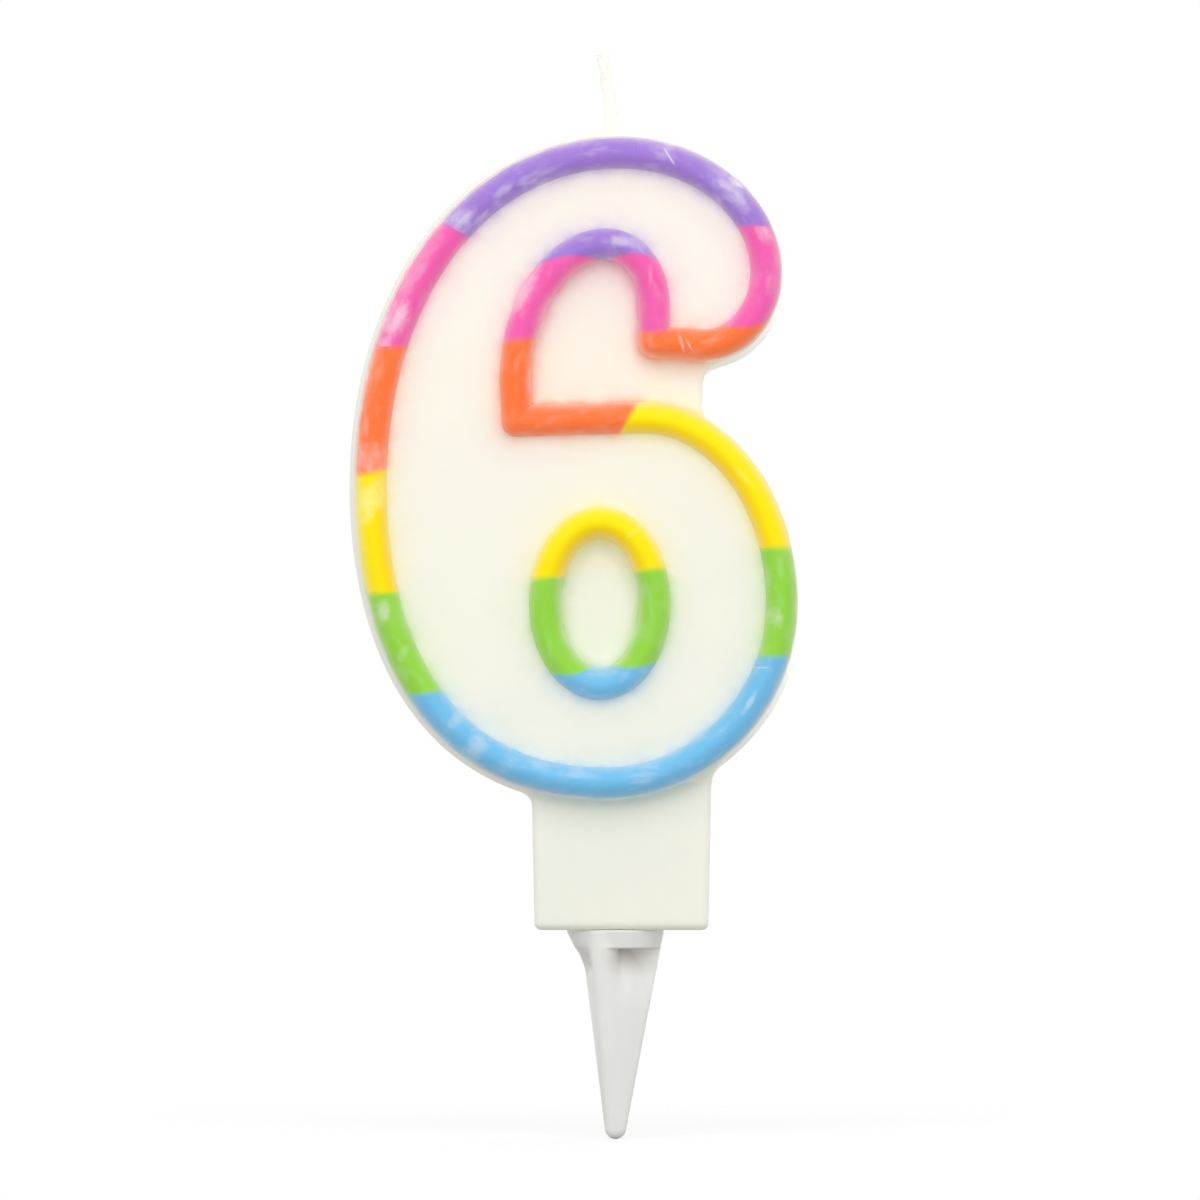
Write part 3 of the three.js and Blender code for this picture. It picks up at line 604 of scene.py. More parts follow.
class Plan:
    """Distances in X and Z to the two beads' centrelines, kept on a grid and read from it
    by straight-line interpolation."""

    def __init__(self, low, high, cell):
        self.cell = cell
        self.low = np.array(low)
        self.xs = np.arange(low[0], high[0] + cell, cell)
        self.zs = np.arange(low[1], high[1] + cell, cell)
        x, z = np.meshgrid(self.xs, self.zs, indexing="ij")
        main_points, main_along = outline_points(main_run)
        inner_points, inner_along = outline_points(inner_run)
        oval_points, oval_along = outline_points(oval_run)
        self.numeral, nearest = distance_to(x, z, np.vstack([main_points, inner_points[1:]]))
        self.oval, on_oval = distance_to(x, z, oval_points)
        last = len(main_along) - 1
        self.places = [
            (main_run, main_along[np.minimum(nearest, last)], self.numeral),
            (inner_run, inner_along[np.maximum(nearest - last, 0)], self.numeral),
            (oval_run, oval_along[on_oval], self.oval),
        ]
        near_oval = np.abs(self.oval) < np.abs(self.numeral)
        self.nearest_run = np.where(near_oval, 2, nearest >= last)[..., None]
        self.near_tint = self.tint(BLEND_LENGTH)
        self.wide_tint = self.tint(STAIN_AND_GLOW_BLEND)

    def tint(self, blend):
        """The colour of the bead that is nearest to each point of the grid, run together
        with its neighbours over the given length."""
        return np.choose(self.nearest_run, [colour_at(*place, blend) for place in self.places])

    def read(self, values, x, z):
        across = np.clip((x - self.low[0]) / self.cell, 0, len(self.xs) - GRID_END)
        up = np.clip((z - self.low[1]) / self.cell, 0, len(self.zs) - GRID_END)
        i = across.astype(int)
        j = up.astype(int)
        u = across - i
        v = up - j
        if values.ndim == 3:
            u = u[..., None]
            v = v[..., None]
        near = values[i, j] * (1 - u) + values[i + 1, j] * u
        far = values[i, j + 1] * (1 - u) + values[i + 1, j + 1] * u
        return near * (1 - v) + far * v


def both(a, b, radius):
    """Inside where both fields are, with the edge between them rounded off."""
    corner = np.hypot(np.maximum(a + radius, 0), np.maximum(b + radius, 0))
    return np.minimum(-radius, np.maximum(a, b)) + corner


def either(a, b, radius):
    """Inside where either field is, with a fillet in the corner between them."""
    corner = np.hypot(np.maximum(radius - a, 0), np.maximum(radius - b, 0))
    return np.maximum(radius, np.minimum(a, b)) - corner


def wave(a, b, length, phase, sway, sway_length):
    """The sine of a over its length, with a phase that sways with the sine of b."""
    return np.sin(a / length + phase + sway * np.sin(b / sway_length))


def unevenness(x, z):
    """The slow waves of a poured face: the mean of three sines in X and Z."""
    waves = wave(x, z, *ACROSS_WAVE) + wave(z, x, *UP_WAVE) + wave(x + z, x, *SLANT_WAVE)
    return waves / 3


def counter_edge(x, z):
    """How far a point lies outside the counter's box, below 0 inside it."""
    return np.maximum(np.maximum(x - web_x, stem_x - x), np.maximum(bar_z - z, z - arch_z))


def in_recess(numeral, oval, x, z):
    """1 on the inner side of the bead, in the counter and the oval, and 0 elsewhere."""
    in_counter = smooth(RECESS_SOFT, -RECESS_SOFT, counter_edge(x, z)) * (numeral > 0)
    return np.maximum(in_counter, oval < 0)


def casting_field(plan, x, y, z):
    """The distance to the casting's surface, below 0 in the wax. The slab is all that lies
    nearer to the centreline than the flaring wall. The web and the neck are plates behind
    the face, joined to it with fillets, and the oval's pocket is cut out."""
    numeral = plan.read(plan.numeral, x, z)
    oval = plan.read(plan.oval, x, z)
    depth = y - FACE_Y
    inner = in_recess(numeral, oval, x, z)
    to_bead = np.minimum(np.abs(numeral), np.abs(oval)) - HALF
    fillet = FILLET_RISE * np.exp(-np.maximum(to_bead, -FILLET_TOP) / FILLET_REACH)
    relief = (1 - inner) * fillet + WAVE_HEIGHT * unevenness(x, z)

    lip = FRONT_LIP + (INNER_LIP - FRONT_LIP) * inner
    edge = HALF + lip + (RIM - FRONT_LIP) * depth / SLAB_DEPTH
    slab = both(numeral - edge, -depth - relief, FRONT_ROUND)

    hidden = numeral - (HALF + FRONT_LIP - NECK_FOOT)
    counter = counter_edge(x, z)
    mouth_z = (bar_z + hook_z - HALF) / 2
    web_plan = either(counter, hidden, np.where(z > mouth_z, HOOK_FILLET, BOWL_FILLET))
    web = both(web_plan, WEB_RECESS - depth, WEB_ROUND)

    neck_top = bottom_z + BEAD_WIDTH
    taper = NECK_TAPER * (bottom_z - z) / (bottom_z - seat_z)
    sides = np.abs(x - NECK_OFFSET) - (NECK_WIDTH / 2 - taper)
    block = np.maximum(both(sides, seat_z - z, NECK_CORNER), z - neck_top)
    neck = both(either(block, hidden, NECK_FILLET), NECK_RECESS - depth, NECK_ROUND)

    wax = either(either(slab, web, WEB_FOOT), neck, NECK_FOOT)
    dip = BACK_DIP * smooth(BACK_EDGE, BACK_SLOPE, -np.maximum(wax, numeral - HALF - RIM))
    dip = dip * (1 + WAVE_HEIGHT / BACK_DIP * wave(x, z, *BACK_WAVE))
    wax = both(wax, depth - (BACK_Y - FACE_Y) + dip, BACK_ROUND)
    pocket_wall = oval + HALF + INNER_LIP + OVAL_SLOPE * depth
    pocket = both(pocket_wall, depth - OVAL_RECESS, POCKET_ROUND)
    wax = both(wax, -pocket, FRONT_ROUND)

    collar = np.maximum(np.hypot(x - wick_x, y) - WICK_RADIUS, np.abs(z - wall_top_z) - COLLAR_HALF)
    return either(wax, collar, COLLAR_FOOT)


def cells_round(edges, others):
    """The four cells that meet at each edge, one after another round it."""
    for da, db in ((0, 0), (1, 0), (1, 1), (0, 1)):
        cell = edges.copy()
        cell[:, others[0]] -= da
        cell[:, others[1]] -= db
        yield cell


def net_of(values, axes):
    """The surface net of a field: one point in each cell that the surface passes through,
    in the middle of its crossings with the cell's edges, and one face for each crossed edge."""
    inside = values < 0
    cells = tuple(n - 1 for n in values.shape)
    total = np.zeros(cells + (3,))
    count = np.zeros(cells)
    crossed = []
    for axis in range(3):
        low = [slice(None)] * 3
        high = [slice(None)] * 3
        low[axis] = slice(0, -1)
        high[axis] = slice(1, None)
        low, high = tuple(low), tuple(high)
        hit = np.argwhere(inside[low] != inside[high])
        i, j, k = hit.T
        start = values[low][i, j, k]
        end = values[high][i, j, k]
        place = np.stack([axes[0][i], axes[1][j], axes[2][k]], axis=1)
        step = axes[axis][hit[:, axis] + 1] - axes[axis][hit[:, axis]]
        place[:, axis] += step * start / (start - end)
        others = [n for n in range(3) if n != axis]
        for cell in cells_round(hit, others):
            keep = (cell >= 0).all(1) & (cell < cells).all(1)
            index = tuple(cell[keep].T)
            np.add.at(total, index, place[keep])
            np.add.at(count, index, 1)
        crossed.append((axis, others, hit, start < 0))
    used = count > 0
    number = np.full(cells, -1)
    number[used] = np.arange(used.sum())
    faces = []
    for axis, others, hit, leaving in crossed:
        quads = np.stack([number[tuple(cell.T)] for cell in cells_round(hit, others)], axis=1)
        flip = leaving if axis != 1 else ~leaving
        faces.append(np.where(flip[:, None], quads, quads[:, ::-1]))
    return total[used] / count[used][:, None], np.vstack(faces)


def settle(field, points, reach):
    """Points moved onto the surface where the field is 0: twice down the field's slope."""
    farthest = 4 * reach
    least_steep = 0.25
    for _ in range(2):
        value = field(*points.T)
        slope = np.stack([
            field(*(points + step).T) - field(*(points - step).T)
            for step in np.eye(3) * reach
        ], axis=1) / (2 * reach)
        steep = np.maximum((slope**2).sum(1), least_steep)
        points = points - np.clip(value / steep, -farthest, farthest)[:, None] * slope
    return points


def stains(plan, points):
    """The colour that each point of the casting takes from the bead beside it, and how
    much of it: dye run into the wax together with painted coloured glow from the bead. The
    near and the wide share fall off with the distance to the bead's edge as powers of e. A
    third share, painted coloured bounce light in the shade below the bead, lies on the
    recessed floors there, less of it under the hook, and falls off as a bell curve. All fade
    away down the outer wall."""
    x, y, z = points.T
    numeral = plan.read(plan.numeral, x, z)
    oval = plan.read(plan.oval, x, z)
    from_line = np.minimum(np.abs(numeral), np.abs(oval))
    to_bead = np.maximum(from_line - HALF, 0)
    higher = np.abs(plan.read(plan.numeral, x, z + BOUNCE_STEP))
    higher = np.minimum(higher, np.abs(plan.read(plan.oval, x, z + BOUNCE_STEP)))
    below_bead = np.clip((from_line - higher) / BOUNCE_STEP, 0, 1)
    inner = in_recess(numeral, oval, x, z)
    above_hook = np.maximum(smooth(hook_z - HALF, hook_z + HALF, z), oval < 0)
    past_side = np.abs(x - NECK_OFFSET) - NECK_WIDTH / 2
    on_neck = (z < bottom_z) * smooth(RECESS_SOFT, -RECESS_SOFT, past_side)
    recessed = np.maximum(on_neck, inner)
    depth = y - FACE_Y
    shown = (1 - recessed) * smooth(*WALL_DEPTHS, depth)
    shown = shown + recessed * smooth(*RECESS_DEPTHS, depth)
    near = shown * (NEAR_STAIN_AND_GLOW + inner * (WALL_STAIN_AND_GLOW - NEAR_STAIN_AND_GLOW)) * np.exp(-to_bead / NEAR_REACH)
    reach = WIDE_REACH + recessed * (RECESS_REACH - WIDE_REACH)
    # painted coloured bounce light in the shade below the bead
    painted_bounce = HOOK_PAINTED_BOUNCE + above_hook * (UNDER_PAINTED_BOUNCE - HOOK_PAINTED_BOUNCE)
    painted_bounce = painted_bounce * inner * below_bead * np.exp(-((to_bead / UNDER_REACH) ** 2))
    wide = shown * (1 - (1 - WIDE_STAIN_AND_GLOW * np.exp(-to_bead / reach)) * (1 - painted_bounce))
    share = 1 - (1 - near) * (1 - wide)
    mixed = near[:, None] * plan.read(plan.near_tint, x, z)
    mixed = mixed + wide[:, None] * plan.read(plan.wide_tint, x, z)
    tiny = 1e-6  # keeps an unstained place from a division by 0
    mixed = mixed / (near + wide + tiny)[:, None]
    return np.c_[mixed, share]


def casting():
    """The white wax casting: the skin of its field, with its stain and painted coloured glow."""
    low = np.array(wax_low) - GRID_EDGE
    high = np.array(wax_high) + GRID_EDGE
    plan = Plan((low[0], low[2]), (high[0], high[2]), CELL)
    near_face = np.arange(low[1], FACE_Y + NECK_RECESS + FINE_DEPTH, FINE_CELL)
    middle = np.arange(near_face[-1] + COARSE_CELL, BACK_Y - FINE_DEPTH, COARSE_CELL)
    near_back = np.arange(middle[-1] + FINE_CELL, high[1], FINE_CELL)
    ys = np.r_[near_face, middle, near_back]

    def field(x, y, z):
        return casting_field(plan, x, y, z)

    x, y, z = np.meshgrid(plan.xs, ys, plan.zs, indexing="ij")
    points, faces = net_of(field(x, y, z), (plan.xs, ys, plan.zs))
    points = settle(field, points, SETTLE_REACH)
    return add_mesh("wax_casting", points, faces.tolist(), stain=stains(plan, points))


# The bead

def bead_section():
    """Across and rise of the bead's section, closed by a hidden foot. The rise is a power
    of the sine of the turn, so the bead runs out more gently than half an ellipse."""
    turn = np.linspace(0, math.pi, BEAD_ROWS)
    half = HALF + BEAD_TUCK
    across = np.r_[half, half * np.cos(turn), -half]
    rise = np.r_[-BEAD_SKIRT, BEAD_RISE * np.maximum(np.sin(turn), 0) ** SECTION_POWER, -BEAD_SKIRT]
    return across, rise


ACROSS, RISE = bead_section()


def corner_slope(ending, starting):
    """The tangent of half the angle by which one run turns into the next at their corner."""
    cosine = float(ending.outward(ending.length) @ starting.outward(0))
    return math.sqrt((1 - cosine) / (1 + cosine))


def cut(change):
    """Where a slanting colour change meets each line of the bead."""
    start, shear = change
    return start + shear * ACROSS


def leg(run, start, end):
    """Lines of bead from one place of a run to another, both given for each line: their
    evenly spaced points, how far along those are, and their colours."""
    steps = max(3, math.ceil(float(np.max(end - start)) / BEAD_STEP))
    along = start[:, None] + (end - start)[:, None] * np.linspace(0, 1, steps + 1)
    points = run.at(along) + run.outward(along) * ACROSS[:, None, None]
    return points, along, colour_at(run, along, ACROSS[:, None], BLEND_LENGTH)


def fan(corner, first, last, side):
    """The round side of a bead's corner: each line on that side turns about the corner at
    its own distance, from one direction to the other, and the other lines stand still."""
    start = math.atan2(first[1], first[0])
    swing = (math.atan2(last[1], last[0]) - start + math.pi) % (2 * math.pi) - math.pi
    angle = start + swing * np.arange(1, FAN_STEPS) / FAN_STEPS
    arm = np.where(ACROSS * side > 0, ACROSS, 0)[:, None, None]
    return corner + arm * np.stack([np.cos(angle), np.sin(angle)], axis=-1)


def bead_piece(name, places, along, colour):
    """A band of bead from its lines: the section's rise stands out of the face, a little
    uneven from place to place, and carries its colour and its place on the bead."""
    uneven = 1 + BEAD_UNEVEN * unevenness(places[..., 0], places[..., 1])
    rise = RISE[:, None]
    lift = np.where(rise > 0, rise * uneven, rise)
    points = np.stack([places[..., 0], FACE_Y - lift, places[..., 1]], axis=-1)
    colour = np.concatenate([colour, np.ones(colour.shape[:2] + (1,))], axis=-1)
    place = np.stack([along, np.broadcast_to(ACROSS[:, None], along.shape), lift], axis=-1)
    by_column = [np.swapaxes(values, 0, 1) for values in (points, colour, place)]
    points, colour, place = (values.reshape(-1, values.shape[-1]) for values in by_column)
    return add_mesh(name, points, tube_faces(places.shape[1], len(ACROSS)), colour=colour, place=place)


def plain_band(name, run, start, end):
    """A band between two changes of one run. The hook's corner is mitred on the inner side
    of the bead, so lines of the inner run start later there."""
    first = cut(start)
    if run is inner_run:
        first = np.maximum(first, corner_slope(main_run, inner_run) * np.maximum(-ACROSS, 0))
    return bead_piece(name, *leg(run, first, cut(end)))


def corner_band(name, ending, starting, side):
    """A band round a sharp corner: lines of the ending run, a fan on the round side, and
    lines of the starting run. On the other side the lines meet in a mitre."""
    held = corner_slope(ending, starting) * np.maximum(-side * ACROSS, 0)
    before = leg(ending, cut(ending.bands[-1][1]), ending.length - held)
    points, along, colour = leg(starting, held, np.maximum(cut(starting.bands[1][1]), held))
    last_points, last_along, last_colour = (values[:, -1:] for values in before)
    turn = fan(starting.at(0.0), ending.outward(ending.length), starting.outward(0.0), side)
    turn = np.where((ACROSS * side <= 0)[:, None, None], last_points, turn)
    along_turn = np.broadcast_to(last_along, turn.shape[:2])
    colour_turn = np.broadcast_to(last_colour, turn.shape[:2] + (3,))
    after = (points, along + ending.length, colour)
    parts = zip(before, (turn, along_turn, colour_turn), after)
    return bead_piece(name, *(np.concatenate(part, axis=1) for part in parts))


# The wick and the pick

def wick():
    """A plaited wick: a round section carried up a line that bends to the left above the
    crown, with three strands that swell and cross as the radius follows two opposite
    spirals."""
    rows, sides = 220, 36
    point = 0.02  # share of the radius, squared, that is left at the very end
    height = wick_low[2] + (wick_high[2] - wick_low[2]) * np.linspace(0, 1, rows)
    free = np.clip((height - wall_top_z) / (wick_high[2] - wall_top_z), 0, 1)
    lean = wick_high[0] - wick_low[0] - 2 * WICK_RADIUS
    centre = np.stack([wick_x - lean * free**2, np.zeros(rows), height], axis=1)
    turn = np.arange(sides) / sides * 2 * math.pi
    phase = 2 * math.pi * height[:, None] / WICK_PITCH
    strands = np.maximum(np.cos(STRANDS * turn - phase), np.cos(STRANDS * turn + phase))
    end = np.sqrt(np.clip((wick_high[2] - height) / WICK_TIP, point, 1))[:, None]
    radius = WICK_RADIUS * (WICK_CORE + WICK_STRAND * strands) * end
    points = centre[:, None, :] + np.stack([
        radius * np.cos(turn), radius * np.sin(turn), np.zeros_like(radius),
    ], axis=-1)
    return add_mesh("wick_cotton_plait", points.reshape(-1, 3), tube_faces(rows, sides))


def bend(start, middle, end, steps):
    """Points of the quadratic curve from start to end that is drawn towards the middle."""
    t = np.linspace(0, 1, steps)[:, None]
    start, middle, end = (np.array(p) for p in (start, middle, end))
    return start * (1 - t) ** 2 + 2 * middle * t * (1 - t) + end * t**2


def pick_rows():
    """The rings of the pick from the peg's top to the tip. For each its height, the radius
    of the turned part there (the peg, the flat top of the head, its leaning side and the
    hollow flare, which then shrinks to nothing), how far the round tip draws it in, and
    how narrow it is from front to back."""
    head, narrow = pick_high[0], pick_high[1] / pick_high[0]
    peg_top = pick_high[2]
    low = pick_low[2] + TIP_RADIUS
    side = (head - HEAD_TAPER, -HEAD_SIDE)
    foot = (FLARE_RADIUS, -HEAD_SIDE - HEAD_FLARE)
    hollow = ((side[0] + foot[0]) / 2, side[1] - FLARE_HOLLOW * HEAD_FLARE)
    peg = np.vstack([
        bend((PEG_FLAT * PEG_RADIUS, peg_top), (PEG_RADIUS, peg_top),
             (PEG_RADIUS, PEG_STRAIGHT * peg_top), 6),
        bend((PEG_RADIUS, 0.6 * peg_top), (PEG_RADIUS, 0.3 * peg_top), (PEG_RADIUS, 0.0), 4),
    ])
    below = np.vstack([
        bend((0.4 * head, 0.0), (0.7 * head, 0.0), (head - 2 * HEAD_EDGE, 0.0), 4),
        bend((head - HEAD_EDGE, 0.0), (head, 0.0), (head - 0.5 * HEAD_EDGE, -HEAD_EDGE), 6),
        bend((head - 0.6 * HEAD_EDGE, -1.2 * HEAD_EDGE),
             ((head + side[0]) / 2, side[1] / 2), side, 24)[:-1],
        bend(side, hollow, foot, 60),
        bend(foot, (foot[0] / 2, (foot[1] + low) / 2), (0.0, low), 50)[1:],
    ])
    turn = np.linspace(0, math.pi / 2 * TIP_SHARE, 10)[1:, None]
    tip = np.hstack([0 * turn, low - TIP_RADIUS * np.sin(turn)])
    radius, height = np.vstack([peg, below, tip]).T[:, :, None]
    drawn_in = np.r_[np.ones((len(peg) + len(below), 1)), np.cos(turn)]
    narrow = np.where(np.arange(len(height)) < len(peg), 1.0, narrow)[:, None]
    return height, radius, drawn_in, narrow


def larger(a, b, blend):
    """The larger of two values, with the corner between them rounded off."""
    near = np.maximum(blend - np.abs(a - b), 0) / blend
    return np.maximum(a, b) + near**2 * blend / 4


def spike_radius(height, from_corner):
    """The radius of the spike's section, three flat sides that meet in round corners: on
    the corner's circle near a corner, and farther off the distance of the flat side over
    the cosine of the angle from its middle. Corners draw in evenly to the tip."""
    low = pick_low[2] + TIP_RADIUS
    share = np.clip((height + SPIKE_TOP) / (low + SPIKE_TOP), 0, 1)
    reach = SPIKE_REACH + (TIP_RADIUS - SPIKE_REACH) * share
    corner = SPIKE_CORNER + (TIP_CORNER - SPIKE_CORNER) * share
    middle = reach - corner
    half_turn = math.pi / SPIKE_SIDES
    side = middle * math.cos(half_turn) + corner
    on_circle = middle * np.cos(from_corner) + np.sqrt(
        np.maximum(corner**2 - (middle * np.sin(from_corner)) ** 2, 0)
    )
    on_side = side / np.cos(half_turn - from_corner)
    circle_ends = np.arctan2(corner * math.sin(half_turn), middle + corner * math.cos(half_turn))
    return np.where(from_corner < circle_ends, on_circle, on_side)


def turn_between(angle, other):
    """The angle between two directions, from 0 to half a turn."""
    return np.abs((angle - other + math.pi) % (2 * math.pi) - math.pi)


def pick_dents(around, angle, down):
    """How much of the scoop, of the hollow and of the shade painted into them lies at each place,
    from 0 to 1, by the angles round from the first corner and from X, and the way down from the
    foot of the head's side. Under that side the two flat sides that meet at the first corner
    are scooped in, which runs out down the spike. The hollow lies in the left of the flare."""
    from_first = turn_between(around, 0.0)
    from_second = 2 * math.pi / SPIKE_SIDES - from_first
    under_side = smooth(*SCOOP_ENDS, from_first) * smooth(0, SCOOP_ROOF, down)
    run_out = np.clip(1 - down / SCOOP_FALL, 0, 1) ** SCOOP_POWER
    scooped = under_side * smooth(*SCOOP_SOFT_ENDS, from_second) * run_out
    # painted shade in the scoop, under the head, and below in the hollow
    dim = under_side * smooth(*SCOOP_SHADE_ENDS, from_second) * smooth(*SCOOP_SHADE_DOWN, down)
    on_flare = smooth(-HEAD_SIDE / 2, HEAD_FLARE / 3, down)
    on_flare = on_flare * smooth(HEAD_FLARE, HEAD_FLARE / 2, down)
    hollow = on_flare * smooth(*HOLLOW_ENDS, turn_between(angle, HOLLOW_FACING))
    hollow_dim = on_flare * smooth(*HOLLOW_SHADE_ENDS, turn_between(angle, HOLLOW_SHADE_FACING))
    return scooped, hollow, np.maximum(dim, hollow_dim)


def pick():
    """The moulded pick: its radius is a function of the angle and of the height, the larger
    of the turned part and the spike, less its dents. The scoop's floor is flat."""
    height, turned, drawn_in, narrow = pick_rows()
    half_turn = math.pi / SPIKE_SIDES
    from_corner = np.abs(np.linspace(-half_turn, half_turn, SIDE_POINTS, endpoint=False))
    from_corner = np.tile(from_corner, SPIKE_SIDES)
    around = np.linspace(-half_turn, 2 * math.pi - half_turn, from_corner.size, endpoint=False)
    angle = around + SPIKE_TURN
    down = -HEAD_SIDE - height
    spike = np.where(height < -SPIKE_TOP, spike_radius(height, from_corner), 0)
    on_flare = smooth(-HEAD_SIDE / 2, HEAD_FLARE / 2, down)
    radius = larger(turned, spike, HEAD_BLEND + (FLARE_BLEND - HEAD_BLEND) * on_flare)
    scooped, hollow, dim = pick_dents(around, angle, down)
    floor = SCOOP_FLOOR / np.cos(half_turn - from_corner)
    radius = (radius + (floor - radius) * scooped - HOLLOW_DEPTH * hollow) * drawn_in
    points = np.stack([
        radius * np.cos(angle),
        radius * np.sin(angle) * narrow,
        np.broadcast_to(height, radius.shape),
    ], axis=-1)
    # the painted shade of the scoop and the hollow, kept on the mesh
    dim = np.repeat(dim.reshape(-1, 1), 3, axis=1)
    faces = tube_faces(len(height), angle.size)
    return add_mesh("pick_moulded", points.reshape(-1, 3), faces, dim=dim)


# Materials

class Nodes:
    """The nodes of one material or of the world, added and joined by name."""

    def __init__(self, owner):
        self.owner = owner
        owner.use_nodes = True
        self.tree = owner.node_tree
        self.tree.nodes.clear()

    def node(self, kind, inputs=None, **settings):
        made = self.tree.nodes.new("ShaderNode" + kind)
        for key, value in settings.items():
            setattr(made, key, value)
        for key, value in (inputs or {}).items():
            if isinstance(value, bpy.types.NodeSocket):
                self.tree.links.new(value, made.inputs[key])
            else:
                made.inputs[key].default_value = value
        return made

    def math(self, operation, a, b=0.0):
        return self.node("Math", {0: a, 1: b}, operation=operation).outputs[0]

    def times(self, a, b):
        return self.math("MULTIPLY", a, b)

    def mix(self, share, a, b):
        return self.node("Mix", {0: share, 6: a, 7: b}, data_type="RGBA").outputs[2]

    def noise(self, place, scale, detail=2.0, roughness=0.5):
        """Cloudy noise, with its scale in waves to a metre."""
        inputs = {"Vector": place, "Scale": scale, "Detail": detail, "Roughness": roughness}
        return self.node("TexNoise", inputs).outputs["Fac"]

    def streaks(self, on_bead, along, across, roughness=0.5):
        """Noise with other scales along the bead than across it."""
        inputs = {"Vector": on_bead, "Scale": (along, across, 0.0)}
        return self.noise(self.node("Mapping", inputs).outputs[0], 1.0, 2.0, roughness)

    def ramp(self, value, low, high, to_low=0.0, to_high=1.0):
        inputs = {"Value": value, 1: low, 2: high, 3: to_low, 4: to_high}
        return self.node("MapRange", inputs, interpolation_type="SMOOTHSTEP").outputs[0]

    def place(self):
        return self.node("TexCoord").outputs["Object"]

    def attribute(self, name, output):
        return self.node("Attribute", attribute_name=name).outputs[output]

    def split(self, vector):
        return self.node("SeparateXYZ", {0: vector}).outputs

    def spot(self, ragged, x, z, turn, long, wide):
        """1 on an oval spot and 0 off it, with a soft ragged edge."""
        centred = self.node("Mapping", {
            "Vector": self.place(),
            "Location": (x * MM, 0.0, z * MM),
            "Rotation": (0.0, -math.radians(turn), 0.0),
            "Scale": (long * MM, 1000.0, wide * MM),
        }, vector_type="TEXTURE").outputs[0]
        return self.ramp(self.math("ADD", self.length(centred), ragged), 0.2, 1.25, 1.0, 0.0)

    def length(self, vector):
        return self.node("VectorMath", {0: vector}, operation="LENGTH").outputs["Value"]

    def bump(self, height, distance, strength=1.0):
        inputs = {"Height": height, "Distance": distance, "Strength": strength}
        return self.node("Bump", inputs).outputs[0]

    def surface(self, colour, normal, roughness, **constants):
        shader = self.node("BsdfPrincipled", {
            "Base Color": colour, "Normal": normal, "Roughness": roughness,
        })
        for key, value in constants.items():
            shader.inputs[key.replace("_", " ")].default_value = value
        self.node("OutputMaterial", {0: shader.outputs[0]})
        return self.owner


def new_finish(name):
    """A new material to add nodes to."""
    return Nodes(bpy.data.materials.new(name))


def rgba(rgb):
    """A screen colour as a node takes it."""
    return tuple(linear(rgb)) + (1.0,)


def white_wax():
    """Cream wax: faintly cloudy, lighter and warmer at the top as painted shade that deepens
    downwards, stained by the bead beside it together with painted coloured glow from it,
    with a fine cast skin."""
    wax = new_finish("cream_wax")
    place = wax.place()
    cloud = wax.noise(place, 90.0, detail=3.0)
    # painted shade: the white is darker and cooler towards the bottom
    shade_climb = wax.ramp(wax.split(place)[2], *WHITE_SHADE_CLIMB)
    base = wax.mix(shade_climb, rgba(SHADED_WHITE_LOW), rgba(WHITE_HIGH))
    base = wax.mix(wax.ramp(cloud, 0.35, 0.7, to_high=0.5), base, rgba(WHITE_CLOUD))
    blotch = wax.ramp(wax.noise(place, 420.0), 0.3, 0.7, 0.75, 1.25)
    # dye from the bead together with painted coloured glow and bounce light, kept on the mesh
    stain = wax.times(wax.attribute("stain", "Alpha"), blotch)
    colour = wax.mix(stain, base, wax.attribute("stain", "Color"))
    skin = wax.times(wax.noise(place, 900.0), 0.2)
    height = wax.math("ADD", skin, wax.noise(place, 210.0, detail=1.0))
    return wax.surface(
        colour, wax.bump(height, 0.08 * MM, 0.6), wax.ramp(cloud, 0.3, 0.7, 0.42, 0.5),
        Subsurface_Weight=0.3,
        Subsurface_Radius=(1.0, 0.85, 0.65),
        Subsurface_Scale=0.8 * MM,
        Specular_IOR_Level=0.2,
    )


